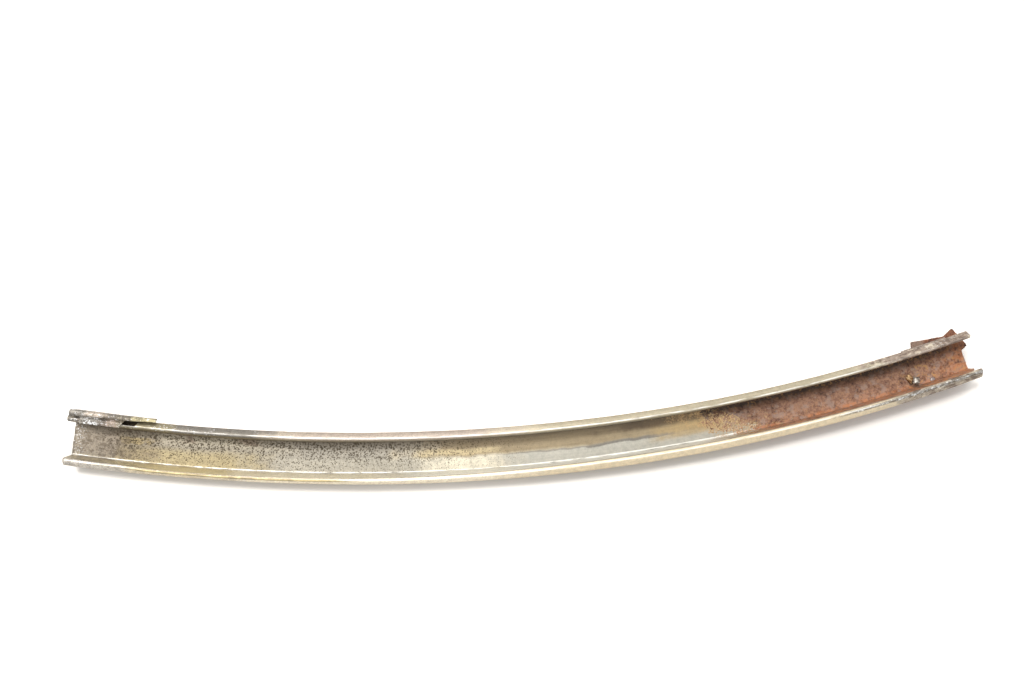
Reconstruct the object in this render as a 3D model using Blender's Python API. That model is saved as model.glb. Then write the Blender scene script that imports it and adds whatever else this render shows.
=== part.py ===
"""Window guide rail of a vehicle door, folded and riveted from sheet steel.

One strip of sheet is rolled into an open channel with a lip along the crown of each flange,
and the channel is bent edgeways into a long arc. A wing bracket lies over the concave lip
near one end, above a notch in that lip. Near the other end an angle stiffens the concave
flange from outside, and a flat bracket behind the web is held by a split rivet.

Places are given in rail coordinates, in metres. Station is the distance along the middle
of the web, reach is the distance from it towards the centre of the bend, and height is the
distance from the web's back. The origin is the middle of the web's back: +X runs along the
rail there, +Y points to the centre of the bend, and the channel opens towards +Z.
"""

import math

import bmesh
import bpy

# Channel
RAIL_LENGTH = 0.4508
BEND_RADIUS = 0.947
SHEET = 0.0008
FOLD_RADIUS = 0.0004
CHANNEL_WIDTH = 0.0150
FLANGE_HEIGHT = 0.0153
CONCAVE_FLARE = 0.0012
CONVEX_FLARE_LEFT = 0.0019
CONVEX_FLARE_RIGHT = 0.0005
FLARE_CHANGE_START = -0.100
FLARE_CHANGE_END = 0.060
LIP_OVERHANG = 0.0050
LIP_DROP = 0.0039
LEFT_END_SLANT = math.radians(3.0)
RAIL_STEPS = 48

# Notch in the concave lip, under the wing bracket
NOTCH_FROM_LEFT = 0.0236
NOTCH_LENGTH = 0.0058
NOTCH_SLANT = 0.0021
NOTCH_REACH_FROM_CROWN = 0.0009

# Corner rusted out of the convex flange at the right end
RUSTED_CORNER_LENGTH = 0.0044
RUSTED_CORNER_FOOT = 0.0062
RUSTED_CORNER_TOP = 0.0126

# Wing bracket over the concave lip
WING_SHEET = 0.0008
WING_FOLD_RADIUS = 0.0001
WING_LENGTH = 0.0396
WING_PLATE_START = 0.0056
WING_PLATE_INSET = 0.0004
WING_RIM_HEIGHT = 0.0149
WING_RIM_INNER_REACH = 0.0119
WING_RIM_OUTER_REACH = 0.0141
WING_SKIRT_FOOT = 0.0050
WING_TAIL_LENGTH = 0.0165
WING_TAIL_HEIGHT = 0.0131
WING_TAIL_INNER_REACH = 0.0125
WING_TAIL_OUTER_REACH = 0.0142
WING_TAIL_FOOT = 0.0108
WING_STEPS = 16

# Angle behind the concave flange at the right end
STIFFENER_SHEET = 0.0008
STIFFENER_LENGTH = 0.0247
STIFFENER_FROM_END = 0.0114
STIFFENER_PAST_LIP = 0.0004
STIFFENER_FOOT = 0.0035
STIFFENER_STEPS = 6

# Split rivet and its holes
RIVET_FROM_RIGHT = 0.0312
RIVET_REACH = -0.0043
RIVET_SHANK_RADIUS = 0.0015
RIVET_HEAD_RADIUS = 0.0033
RIVET_HEAD_HEIGHT = 0.0010
RIVET_LEAF_ANGLES = (math.radians(-3.0), math.radians(136.0))
RIVET_LEAF_LENGTHS = (0.0038, 0.0039)
RIVET_LEAF_WIDTHS = (0.0033, 0.0026)
RIVET_LEAF_START = 0.0004
RIVET_LEAF_THICKNESS = 0.0008
RIVET_LEAF_RISE = 0.0019
RIVET_LEAF_CURL = math.radians(150.0)
RIVET_LEAF_SPREAD = 0.15
RIVET_LEAF_STEPS = 8

# Flat bracket behind the web
BRACKET_SHEET = 0.0015
BRACKET_EAR_LENGTH = 0.0361
BRACKET_EAR_WIDTH = 0.0119
BRACKET_EAR_ASIDE = -0.0015
BRACKET_EAR_ANGLE = math.radians(25.4)
BRACKET_WING_OFFSET = 0.0067
BRACKET_WING_REACH = 0.0192
BRACKET_WING_ANGLE = math.radians(-7.2)

# Clearance between neighbouring pieces, and facets of small round forms
GAP = 0.0003
ROUND_SEGMENTS = 24
FOLD_SEGMENTS = 4
OVERCUT = 0.002

LEFT_END = -RAIL_LENGTH / 2
RIGHT_END = RAIL_LENGTH / 2
CONCAVE_CROWN = CHANNEL_WIDTH / 2 + CONCAVE_FLARE
LIP_EDGE = CHANNEL_WIDTH / 2 + LIP_OVERHANG
LIP_FALL = LIP_DROP / (LIP_OVERHANG - CONCAVE_FLARE)


def clear_scene():
    """Remove every object that the scene holds."""
    for item in list(bpy.data.objects):
        bpy.data.objects.remove(item, do_unlink=True)


def place(station, reach, height):
    """Point in space at the given rail coordinates."""
    angle = station / BEND_RADIUS
    radius = BEND_RADIUS - reach
    return (radius * math.sin(angle), BEND_RADIUS - radius * math.cos(angle), height)


def smooth_step(value, start, end):
    """Rise from 0 at start to 1 at end with level ends."""
    share = min(max((value - start) / (end - start), 0.0), 1.0)
    return share * share * (3.0 - 2.0 * share)


def spread(start, end, steps):
    """Evenly spaced values from start to end, both included."""
    return [start + (end - start) * k / steps for k in range(steps + 1)]


def make_material(name, colour, roughness, metallic):
    """Principled material with one colour."""
    material = bpy.data.materials.new(name)
    material.use_nodes = True
    shader = material.node_tree.nodes["Principled BSDF"]
    shader.inputs["Base Color"].default_value = (*colour, 1.0)
    shader.inputs["Roughness"].default_value = roughness
    shader.inputs["Metallic"].default_value = metallic
    return material


def make_object(name, bm, material=None):
    """Object that takes over the mesh in bm."""
    bmesh.ops.recalc_face_normals(bm, faces=bm.faces)
    mesh = bpy.data.meshes.new(name)
    bm.to_mesh(mesh)
    bm.free()
    body = bpy.data.objects.new(name, mesh)
    bpy.context.collection.objects.link(body)
    if material:
        mesh.materials.append(material)
        mesh.shade_smooth()
        mesh.set_sharp_from_angle(angle=math.radians(35.0))
    return body


def combine(body, helper, operation):
    """Boolean of the body with a helper, which stays out of the renders."""
    helper.hide_render = True
    helper.display_type = "WIRE"
    modifier = body.modifiers.new(helper.name, "BOOLEAN")
    modifier.operation = operation
    modifier.solver = "EXACT"
    modifier.object = helper


def cut_with(body, cutter):
    """Take the cutter's volume out of the body."""
    combine(body, cutter, "DIFFERENCE")


def join_to(body, addition):
    """Make the addition one solid with the body."""
    combine(body, addition, "UNION")


def heading_of(start, end):
    """Direction of the line from start to end, as an angle."""
    return math.atan2(end[1] - start[1], end[0] - start[0])


def folded_sheet(corners, thickness, fold_radius):
    """Outline of a sheet whose upper face follows the corners, read from left to right.

    Each inner corner is folded to fold_radius on its hollow side. The sheet's thickness lies
    to the right of the line, which is below it.
    """
    upper = []
    lower = []

    def add(point, heading):
        upper.append(point)
        lower.append((point[0] + thickness * math.sin(heading),
                      point[1] - thickness * math.cos(heading)))

    add(corners[0], heading_of(corners[0], corners[1]))
    for before, corner, after in zip(corners, corners[1:], corners[2:]):
        heading = heading_of(before, corner)
        turn = (heading_of(corner, after) - heading + math.pi) % (2 * math.pi) - math.pi
        side = 1.0 if turn > 0 else -1.0
        radius = fold_radius if turn > 0 else fold_radius + thickness
        tangent = radius * math.tan(abs(turn) / 2)
        centre = (corner[0] - tangent * math.cos(heading) - side * radius * math.sin(heading),
                  corner[1] - tangent * math.sin(heading) + side * radius * math.cos(heading))
        for direction in spread(heading, heading + turn, FOLD_SEGMENTS):
            add((centre[0] + side * radius * math.sin(direction),
                 centre[1] - side * radius * math.cos(direction)), direction)
    add(corners[-1], heading_of(corners[-2], corners[-1]))
    return upper + lower[::-1]


def skin(name, loops, material=None):
    """Closed solid through loops of points in space, with a face over each end."""
    bm = bmesh.new()
    rows = [[bm.verts.new(point) for point in loop] for loop in loops]
    for here, there in zip(rows, rows[1:]):
        for k in range(len(here)):
            following = (k + 1) % len(here)
            bm.faces.new((here[k], here[following], there[following], there[k]))
    bm.faces.new(rows[0])
    bm.faces.new(rows[-1])
    return make_object(name, bm, material)


def skin_on_rail(name, loops, material=None):
    """Closed solid through loops of points in rail coordinates."""
    return skin(name, [[place(*point) for point in loop] for loop in loops], material)


def prism_on_rail(name, corners, low, high):
    """Cutter over a patch of rail coordinates, from one height to another."""
    return skin_on_rail(name, [[(station, reach, height) for station, reach in corners]
                               for height in (low, high)])


def rail_section(station):
    """Outline of the channel at a station."""
    change = smooth_step(station, FLARE_CHANGE_START, FLARE_CHANGE_END)
    convex_flare = CONVEX_FLARE_LEFT + (CONVEX_FLARE_RIGHT - CONVEX_FLARE_LEFT) * change
    half = CHANNEL_WIDTH / 2
    lip_height = FLANGE_HEIGHT - LIP_DROP
    return folded_sheet([(-LIP_EDGE, lip_height),
                         (-half - convex_flare, FLANGE_HEIGHT),
                         (-half, SHEET),
                         (half, SHEET),
                         (CONCAVE_CROWN, FLANGE_HEIGHT),
                         (LIP_EDGE, lip_height)], SHEET, FOLD_RADIUS)


def notch_stations():
    """Stations where the lip notch starts and ends, at the crown."""
    start = LEFT_END + NOTCH_FROM_LEFT
    return start, start + NOTCH_LENGTH


def notch_cutter():
    """Slanted notch through the concave lip."""
    start, end = notch_stations()
    inner = CONCAVE_CROWN + NOTCH_REACH_FROM_CROWN
    outer = LIP_EDGE + OVERCUT
    lean = NOTCH_SLANT * (outer - inner) / (LIP_EDGE - CONCAVE_CROWN)
    corners = [(start, inner), (end, inner), (end + lean, outer), (start + lean, outer)]
    return prism_on_rail("lip_notch", corners, FLANGE_HEIGHT - LIP_DROP - OVERCUT,
                         FLANGE_HEIGHT + OVERCUT)


def rusted_corner_cutter():
    """Wedge out of the convex flange, under the lip at the right end."""
    reaches = (-CHANNEL_WIDTH / 2 - CONVEX_FLARE_RIGHT - SHEET - GAP, -CHANNEL_WIDTH / 2 + SHEET)
    profile = [(RIGHT_END + OVERCUT, RUSTED_CORNER_FOOT),
               (RIGHT_END + OVERCUT, RUSTED_CORNER_TOP),
               (RIGHT_END - RUSTED_CORNER_LENGTH, RUSTED_CORNER_TOP),
               (RIGHT_END, RUSTED_CORNER_FOOT)]
    return skin_on_rail("rusted_corner", [[(station, reach, height) for station, height in profile]
                                          for reach in reaches])


def rivet_station():
    """Station of the split rivet."""
    return RIGHT_END - RIVET_FROM_RIGHT


def rivet_hole(name, low, high):
    """Clearance hole for the rivet's shank, through a sheet between two heights."""
    bm = bmesh.new()
    bmesh.ops.create_cone(bm, cap_ends=True, segments=ROUND_SEGMENTS,
                          radius1=RIVET_SHANK_RADIUS + GAP, radius2=RIVET_SHANK_RADIUS + GAP,
                          depth=high - low + 2 * OVERCUT)
    x, y, _ = place(rivet_station(), RIVET_REACH, 0.0)
    bmesh.ops.translate(bm, verts=bm.verts, vec=(x, y, (low + high) / 2))
    return make_object(name, bm)


def build_channel(material):
    """Guide channel, with its notch, rusted corner and rivet hole."""
    rings = []
    for station in spread(LEFT_END, RIGHT_END, RAIL_STEPS):
        lean = math.tan(LEFT_END_SLANT) if station == LEFT_END else 0.0
        rings.append([(station - lean * reach, reach, height)
                      for reach, height in rail_section(station)])
    channel = skin_on_rail("guide_channel", rings, material)
    cut_with(channel, notch_cutter())
    cut_with(channel, rusted_corner_cutter())
    cut_with(channel, rivet_hole("rivet_hole_in_web", 0.0, SHEET))
    return channel


def wing_edges(station):
    """Inner reach, outer reach, height and skirt foot of the wing's rim at a station."""
    end = LEFT_END + WING_LENGTH
    share = smooth_step(station, end - WING_TAIL_LENGTH, end)
    inner = WING_RIM_INNER_REACH + (WING_TAIL_INNER_REACH - WING_RIM_INNER_REACH) * share
    outer = WING_RIM_OUTER_REACH + (WING_TAIL_OUTER_REACH - WING_RIM_OUTER_REACH) * share
    height = WING_RIM_HEIGHT + (WING_TAIL_HEIGHT - WING_RIM_HEIGHT) * share
    foot = WING_SKIRT_FOOT + (WING_TAIL_FOOT - WING_SKIRT_FOOT) * share
    return inner, outer, height, foot


def wing_section(station):
    """Outline of the wing bracket: plate over the lip, raised rim and hanging skirt."""
    inner, outer, height, foot = wing_edges(station)
    crown_top = crown_height() + GAP + WING_SHEET
    lift = (GAP + WING_SHEET) * math.hypot(1.0, LIP_FALL)
    ridge = CONCAVE_CROWN + (FLANGE_HEIGHT + lift - crown_top) / LIP_FALL
    valley = inner - WING_SHEET / 2
    valley_height = FLANGE_HEIGHT + lift - LIP_FALL * (valley - CONCAVE_CROWN)
    return folded_sheet([(CONCAVE_CROWN - WING_PLATE_INSET, crown_top),
                         (ridge, crown_top),
                         (valley, valley_height),
                         (inner, height),
                         (outer, height),
                         (outer, foot)], WING_SHEET, WING_FOLD_RADIUS)


def crown_height():
    """Height of the rounded crown of the concave flange."""
    radius = FOLD_RADIUS + SHEET
    rise = math.atan2(FLANGE_HEIGHT - SHEET, CONCAVE_FLARE)
    fall = math.atan(LIP_FALL)
    tangent = radius * math.tan((rise + fall) / 2)
    centre = FLANGE_HEIGHT - tangent * math.sin(rise) - radius * math.cos(rise)
    return centre + radius


def wing_cutters():
    """Patches where the wing is only its rim: past the notch, and past the plate's left end."""
    start, _ = notch_stations()
    wing_end = LEFT_END + WING_LENGTH
    inside = CONCAVE_CROWN - WING_PLATE_INSET - OVERCUT
    slant = NOTCH_SLANT / (LIP_EDGE - CONCAVE_CROWN)
    rim = [(station, wing_edges(station)[0]) for station in spread(start, wing_end + OVERCUT, 6)]
    rim[0] = (start + slant * (WING_RIM_INNER_REACH - CONCAVE_CROWN), WING_RIM_INNER_REACH)
    past_notch = [(start + slant * (inside - CONCAVE_CROWN), inside)] + rim
    past_notch += [(wing_end + OVERCUT, inside)]
    plate_start = LEFT_END + WING_PLATE_START
    past_end = [(LEFT_END - OVERCUT, inside), (plate_start, inside),
                (plate_start, WING_RIM_INNER_REACH), (LEFT_END - OVERCUT, WING_RIM_INNER_REACH)]
    low = FLANGE_HEIGHT - LIP_DROP - OVERCUT
    high = FLANGE_HEIGHT + OVERCUT
    return [prism_on_rail("wing_past_notch", past_notch, low, high),
            prism_on_rail("wing_past_end", past_end, low, high)]


def build_wing_bracket(material):
    """Wing bracket over the concave lip at the left end."""
    rings = [[(station, reach, height) for reach, height in wing_section(station)]
             for station in spread(LEFT_END, LEFT_END + WING_LENGTH, WING_STEPS)]
    wing = skin_on_rail("wing_bracket", rings, material)
    for cutter in wing_cutters():
        cut_with(wing, cutter)
    return wing


def stiffener_section():
    """Outline of the angle that nests behind the concave flange and its lip."""
    run = CONCAVE_FLARE / (FLANGE_HEIGHT - SHEET)
    beside = (SHEET + GAP) * math.hypot(1.0, run)
    below = (SHEET + GAP) * math.hypot(1.0, LIP_FALL)
    foot = CHANNEL_WIDTH / 2 + run * (STIFFENER_FOOT - SHEET) + beside
    start = CHANNEL_WIDTH / 2 - run * SHEET + beside
    corner_height = FLANGE_HEIGHT - below - LIP_FALL * (start - CONCAVE_CROWN)
    corner_height /= 1.0 + LIP_FALL * run
    edge = LIP_EDGE + STIFFENER_PAST_LIP
    edge_height = FLANGE_HEIGHT - below - LIP_FALL * (edge - CONCAVE_CROWN)
    return folded_sheet([(foot, STIFFENER_FOOT),
                         (start + run * corner_height, corner_height),
                         (edge, edge_height)], STIFFENER_SHEET, FOLD_RADIUS)


def build_stiffener(material):
    """Angle nested behind the concave flange and its lip at the right end."""
    end = RIGHT_END - STIFFENER_FROM_END
    rings = [[(station, reach, height) for reach, height in stiffener_section()]
             for station in spread(end - STIFFENER_LENGTH, end, STIFFENER_STEPS)]
    return skin_on_rail("lip_stiffener", rings, material)


def bracket_outline():
    """Corners of the flat bracket around the rivet, along and across the rail there."""
    half = BRACKET_EAR_WIDTH / 2
    along = (math.cos(BRACKET_EAR_ANGLE), math.sin(BRACKET_EAR_ANGLE))
    across = (-along[1], along[0])

    def on_ear(distance, side):
        aside = BRACKET_EAR_ASIDE + side
        return (along[0] * distance + across[0] * aside, along[1] * distance + across[1] * aside)

    wing = (BRACKET_WING_OFFSET, BRACKET_WING_REACH)
    edge = (math.cos(BRACKET_WING_ANGLE), math.sin(BRACKET_WING_ANGLE))
    down = (edge[1], -edge[0])

    def meet_ear(heading):
        distance = BRACKET_EAR_ASIDE + half - wing[0] * across[0] - wing[1] * across[1]
        distance /= heading[0] * across[0] + heading[1] * across[1]
        return (wing[0] + heading[0] * distance, wing[1] + heading[1] * distance)

    rounded_end = [on_ear(half * math.cos(turn), half * math.sin(turn))
                   for turn in spread(math.pi / 2, 3 * math.pi / 2, ROUND_SEGMENTS // 2)]
    return [meet_ear(down)] + rounded_end + [on_ear(BRACKET_EAR_LENGTH, -half),
                                            on_ear(BRACKET_EAR_LENGTH, half),
                                            meet_ear(edge), wing]


def build_end_bracket(material):
    """Flat bracket behind the web, with its ear past the rail's right end."""
    bm = bmesh.new()
    x, y, _ = place(rivet_station(), RIVET_REACH, 0.0)
    turn = rivet_station() / BEND_RADIUS
    corners = [(x + along * math.cos(turn) - across * math.sin(turn),
                y + along * math.sin(turn) + across * math.cos(turn))
               for along, across in bracket_outline()]
    face = bm.faces.new([bm.verts.new((*corner, -GAP - BRACKET_SHEET)) for corner in corners])
    grown = bmesh.ops.extrude_face_region(bm, geom=[face])
    raised = [item for item in grown["geom"] if isinstance(item, bmesh.types.BMVert)]
    bmesh.ops.translate(bm, verts=raised, vec=(0.0, 0.0, BRACKET_SHEET))
    bracket = make_object("end_bracket", bm, material)
    cut_with(bracket, rivet_hole("rivet_hole_in_bracket", -GAP - BRACKET_SHEET, -GAP))
    return bracket


def rivet_leaf(name, angle, length, width):
    """Leaf of the split shank, curled out over the web in the direction of angle."""
    x, y, _ = place(rivet_station(), RIVET_REACH, 0.0)
    ahead = (math.cos(angle), math.sin(angle))
    swing = (length - RIVET_LEAF_START) / (1.0 - math.cos(RIVET_LEAF_CURL))
    loops = []
    for turn in spread(0.0, RIVET_LEAF_CURL, RIVET_LEAF_STEPS):
        out = RIVET_LEAF_START + swing * (1.0 - math.cos(turn))
        height = SHEET + RIVET_LEAF_RISE * math.sin(turn)
        climb = math.atan2(RIVET_LEAF_RISE * math.cos(turn), swing * math.sin(turn))
        half = width / 2 * (1.0 + RIVET_LEAF_SPREAD * turn / RIVET_LEAF_CURL)
        loop = []
        for side, lift in ((-half, -0.5), (half, -0.5), (half, 0.5), (-half, 0.5)):
            away = out - lift * RIVET_LEAF_THICKNESS * math.sin(climb)
            loop.append((x + ahead[0] * away - ahead[1] * side,
                         y + ahead[1] * away + ahead[0] * side,
                         height + lift * RIVET_LEAF_THICKNESS * math.cos(climb)))
        loops.append(loop)
    return skin(name, loops)


def build_split_rivet(material):
    """Split rivet: domed head behind the bracket, shank through the web, two leaves on it."""
    bm = bmesh.new()
    x, y, _ = place(rivet_station(), RIVET_REACH, 0.0)
    head_top = -GAP - BRACKET_SHEET - GAP
    head_low = head_top - RIVET_HEAD_HEIGHT
    profile = [(0.0, SHEET + GAP), (RIVET_SHANK_RADIUS, SHEET + GAP),
               (RIVET_SHANK_RADIUS, head_top), (RIVET_HEAD_RADIUS, head_top)]
    profile += [(RIVET_HEAD_RADIUS * math.cos(turn), head_top - RIVET_HEAD_HEIGHT * math.sin(turn))
                for turn in spread(0.0, math.pi / 2, FOLD_SEGMENTS)][1:-1]
    profile += [(0.0, head_low)]
    points = [bm.verts.new((x + radius, y, height)) for radius, height in profile]
    lines = [bm.edges.new(pair) for pair in zip(points, points[1:])]
    bmesh.ops.spin(bm, geom=points + lines, cent=(x, y, 0.0), axis=(0.0, 0.0, 1.0),
                   angle=2 * math.pi, steps=ROUND_SEGMENTS, use_merge=True)
    bmesh.ops.remove_doubles(bm, verts=bm.verts, dist=0.000001)
    rivet = make_object("split_rivet", bm, material)
    leaves = zip(RIVET_LEAF_ANGLES, RIVET_LEAF_LENGTHS, RIVET_LEAF_WIDTHS)
    for number, (angle, length, width) in enumerate(leaves, start=1):
        join_to(rivet, rivet_leaf(f"rivet_leaf_{number}", angle, length, width))
    return rivet


def main():
    """Build every piece of the guide rail."""
    clear_scene()
    zinc = make_material("yellow_zinc_steel", (0.42, 0.36, 0.25), 0.42, 0.85)
    grey_zinc = make_material("grey_zinc_steel", (0.45, 0.42, 0.38), 0.50, 0.80)
    rust = make_material("rusted_steel", (0.25, 0.11, 0.05), 0.85, 0.10)
    build_channel(zinc)
    build_wing_bracket(grey_zinc)
    build_stiffener(grey_zinc)
    build_end_bracket(rust)
    build_split_rivet(zinc)


main()
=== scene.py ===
"""Looks of a window guide rail of a vehicle door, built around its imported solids.

The rail is one folded sheet: a channel with a drooping lip along each crown, bent edgeways into
an arc. Every piece is worked out in rail coordinates, in metres: station is the distance along
the middle of the web, reach is the distance from it towards the centre of the bend, and height
is the distance from the web's back. The finishes read the same coordinates, so that plating,
stains and rust lie where they do on the real rail.
"""

import logging
import math
from dataclasses import dataclass
from enum import Enum
from typing import Optional, Sequence, Union

import bmesh
import bpy
import numpy as np
from mathutils import Matrix, Vector


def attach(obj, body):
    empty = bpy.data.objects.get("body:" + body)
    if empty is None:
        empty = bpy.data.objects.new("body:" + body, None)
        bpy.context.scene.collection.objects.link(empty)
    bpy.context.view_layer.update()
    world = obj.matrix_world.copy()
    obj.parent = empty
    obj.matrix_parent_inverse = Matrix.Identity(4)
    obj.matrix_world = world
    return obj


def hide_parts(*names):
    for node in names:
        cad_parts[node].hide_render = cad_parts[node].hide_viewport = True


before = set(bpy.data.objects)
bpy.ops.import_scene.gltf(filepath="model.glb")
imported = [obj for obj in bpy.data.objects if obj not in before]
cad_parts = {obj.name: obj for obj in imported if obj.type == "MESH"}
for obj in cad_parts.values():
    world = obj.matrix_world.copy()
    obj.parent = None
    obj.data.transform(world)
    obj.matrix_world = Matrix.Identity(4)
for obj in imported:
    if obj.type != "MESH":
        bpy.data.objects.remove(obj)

Socket = bpy.types.NodeSocket
Piece = bpy.types.Object
Number = Union[float, np.ndarray]
Pair = tuple[float, float]
Triple = tuple[float, float, float]
Four = tuple[float, float, float, float]
Tone = Four

LOG = logging.getLogger("guide_rail")
MM = 0.001
BODY = "root"
CLEARANCE = 0.002
CUTTER_LIFT = np.array([0.0, 0.0, 0.008])
LATTICE = (1024, 256)
LATTICE_START = (300.0, 100.0)
SHARP_ANGLE = math.radians(40.0)
WELD_DISTANCE = 1e-7
EDGE_TURNS = np.radians([35.0, 90.0, 145.0])


class Slot(Enum):
    """Names of material slots."""

    YELLOW_ZINC = "yellow_zinc_steel"
    GREY_ZINC = "grey_zinc_steel"
    RUSTED = "rusted_steel"


class Ease(Enum):
    """How a value of a node graph runs between the ends of its range."""

    SMOOTH = "SMOOTHSTEP"
    EVEN = "LINEAR"


@dataclass(frozen=True)
class Bend:
    """The arc that the rail follows."""

    radius: float = 0.947

    def place(self, station: Number, reach: Number, height: Number) -> np.ndarray:
        """Turn rail coordinates into points in space.

        The point stands on a circle of radius minus reach, turned by station over radius.

        Args:
            station: Distances along the middle of the web.
            reach: Distances towards the centre of the bend.
            height: Distances from the web's back.

        Returns:
            The points, with x, y and z along the last axis.
        """
        angle = station / self.radius
        arm = self.radius - reach
        parts = (arm * np.sin(angle), self.radius - arm * np.cos(angle), height)
        return np.stack(np.broadcast_arrays(*parts), axis=-1)


@dataclass(frozen=True)
class Sheet:
    """A sheet's thickness, the inner radius of its folds, and how finely it is drawn."""

    thickness: float = 0.0008
    fold_radius: float = 0.0004
    fold_steps: int = 5
    pitch: float = 0.0010
    ring_pitch: float = 0.00105
    edge: float = 0.00018

    def rings(self, start: float, end: float) -> np.ndarray:
        """Even stations from start to end, with one more just inside each end.

        Args:
            start: The first station.
            end: The last one.

        Returns:
            The stations.
        """
        count = max(2, round((end - start) / self.ring_pitch))
        inner = np.linspace(start + self.edge, end - self.edge, count)
        return np.concatenate(([start], inner, [end]))


BEND = Bend()


def smooth_step(value: np.ndarray, start: float, end: float) -> np.ndarray:
    """Rise from 0 at start to 1 at end as 3 t squared minus 2 t cubed."""
    share = np.clip((value - start) / (end - start), 0.0, 1.0)
    return share * share * (3.0 - 2.0 * share)


@dataclass(frozen=True)
class Wave:
    """Smooth random field that makes a true surface uneven.

    Attributes:
        size: Its largest value.
        cell: Size of its cells along and across.
        seed: Seed of its random values.
    """

    size: float
    cell: Pair
    seed: int

    def over(self, along: np.ndarray, across: Number = 0.0) -> np.ndarray:
        """Work out the field at points.

        Random values stand on a lattice, and each point blends the four around it with the
        weights of a cubic step.

        Args:
            along: First coordinate of the points.
            across: Second coordinate of the points.

        Returns:
            The field's value at each point, between minus its size and its size.
        """
        table = np.random.default_rng(self.seed).uniform(-1.0, 1.0, LATTICE)
        a, b = np.broadcast_arrays(along / self.cell[0] + LATTICE_START[0],
                                   across / self.cell[1] + LATTICE_START[1])
        i, j = np.floor(a).astype(int), np.floor(b).astype(int)
        s, t = smooth_step(a - i, 0.0, 1.0), smooth_step(b - j, 0.0, 1.0)
        first, second = i % LATTICE[0], (i + 1) % LATTICE[0]
        near, far = (table[first, row % LATTICE[1]] * (1.0 - s)
                     + table[second, row % LATTICE[1]] * s for row in (j, j + 1))
        return self.size * (near * (1.0 - t) + far * t)


def swell(waves: Sequence[Wave], along: np.ndarray, across: Number = 0.0) -> np.ndarray:
    """Sum of several random fields at the same points."""
    return sum(wave.over(along, across) for wave in waves)


def ahead_of(angle: Number) -> np.ndarray:
    """Unit vectors at the angles."""
    return np.stack((np.cos(angle), np.sin(angle)), axis=-1)


def left_of(ahead: np.ndarray) -> np.ndarray:
    """Vectors turned left by a right angle."""
    return np.stack((-ahead[..., 1], ahead[..., 0]), axis=-1)


def full_turn(steps: int) -> np.ndarray:
    """Even angles all the way round."""
    return np.linspace(0.0, 2.0 * math.pi, steps + 1)[:-1]


def quarter_turn(steps: int) -> np.ndarray:
    """Even angles from nought to a right angle."""
    return np.linspace(0.0, math.pi / 2.0, steps + 1)


@dataclass
class Section:
    """A folded sheet's section at many stations: its middle line and the way its face looks.

    Attributes:
        middle: Points of the sheet's middle line, by station and point, as reach and height.
        normal: Unit vectors from the middle line to the upper face, in the same order.
        developed: Distance of each point along the sheet, from the first edge.
    """

    middle: np.ndarray
    normal: np.ndarray
    developed: np.ndarray

    @property
    def off_middle(self) -> np.ndarray:
        """Distance of each point along the sheet, from its middle."""
        return np.abs(self.developed - self.developed[:, -1:] / 2.0)


def folded_section(stations: np.ndarray, corners: Sequence[tuple[Number, Number]],
                   sheet: Sheet) -> Section:
    """Section of a sheet whose upper face follows the corners, with a round fold at each.

    A fold's centre lies square to the stretch before it, at the fold's radius, and the fold
    sweeps from that stretch's heading to the next one's. A hollow fold has the inner radius on
    the upper face, and a crown has that radius plus the thickness.

    Args:
        stations: The stations.
        corners: The face's corners as reach and height, each one value or one for each station.
        sheet: The sheet's thickness and folds.

    Returns:
        The section at every station.
    """
    zero = np.zeros_like(stations)
    knots = np.stack([np.stack((zero + reach, zero + height), -1) for reach, height in corners], 1)
    points: list[np.ndarray] = []
    headings: list[np.ndarray] = []

    def heading_after(index: int) -> np.ndarray:
        """Angle from one corner to the next."""
        way = knots[:, index + 1] - knots[:, index]
        return np.arctan2(way[:, 1], way[:, 0])

    def add_stretch(first: np.ndarray, last: np.ndarray, along: np.ndarray) -> None:
        """Add even points from first up to last, without last.

        Args:
            first: The stretch's start at each station.
            last: Its end.
            along: Its heading.
        """
        length = np.linalg.norm(last - first, axis=1).max()
        share = np.arange(max(1, round(length / sheet.pitch)))
        share = share / len(share)
        points.append(first[:, None] + (last - first)[:, None] * share[None, :, None])
        headings.append(np.repeat(along[:, None], len(share), axis=1))

    along = heading_after(0)
    start = knots[:, 0] + sheet.edge * ahead_of(along)
    for k in range(1, len(corners) - 1):
        following = heading_after(k)
        turn = (following - along + math.pi) % (2.0 * math.pi) - math.pi
        radius = np.where(turn > 0.0, sheet.fold_radius, sheet.fold_radius + sheet.thickness)
        arm = (np.sign(turn) * radius)[:, None]
        tangent = (radius * np.tan(np.abs(turn) / 2.0))[:, None]
        fold_start = knots[:, k] - tangent * ahead_of(along)
        add_stretch(start, fold_start, along)
        centre = fold_start + arm * left_of(ahead_of(along))
        sweep = along[:, None] + turn[:, None] * (np.arange(sheet.fold_steps) / sheet.fold_steps)
        points.append(centre[:, None] - arm[:, None] * left_of(ahead_of(sweep)))
        headings.append(sweep)
        start = centre - arm * left_of(ahead_of(following))
        along = following
    end = knots[:, -1] - sheet.edge * ahead_of(along)
    add_stretch(start, end, along)
    face = np.concatenate((*points, end[:, None]), axis=1)
    normal = left_of(ahead_of(np.concatenate((*headings, along[:, None]), axis=1)))
    step = np.linalg.norm(np.diff(face, axis=1), axis=2)
    developed = np.concatenate((zero[:, None], np.cumsum(step, axis=1)), axis=1)
    return Section(face - normal * sheet.thickness / 2.0, normal, developed)


def soften(piece: Piece) -> None:
    """Shade a piece smoothly, apart from its sharp edges."""
    piece.data.shade_smooth()
    piece.data.set_sharp_from_angle(angle=SHARP_ANGLE)


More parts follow.
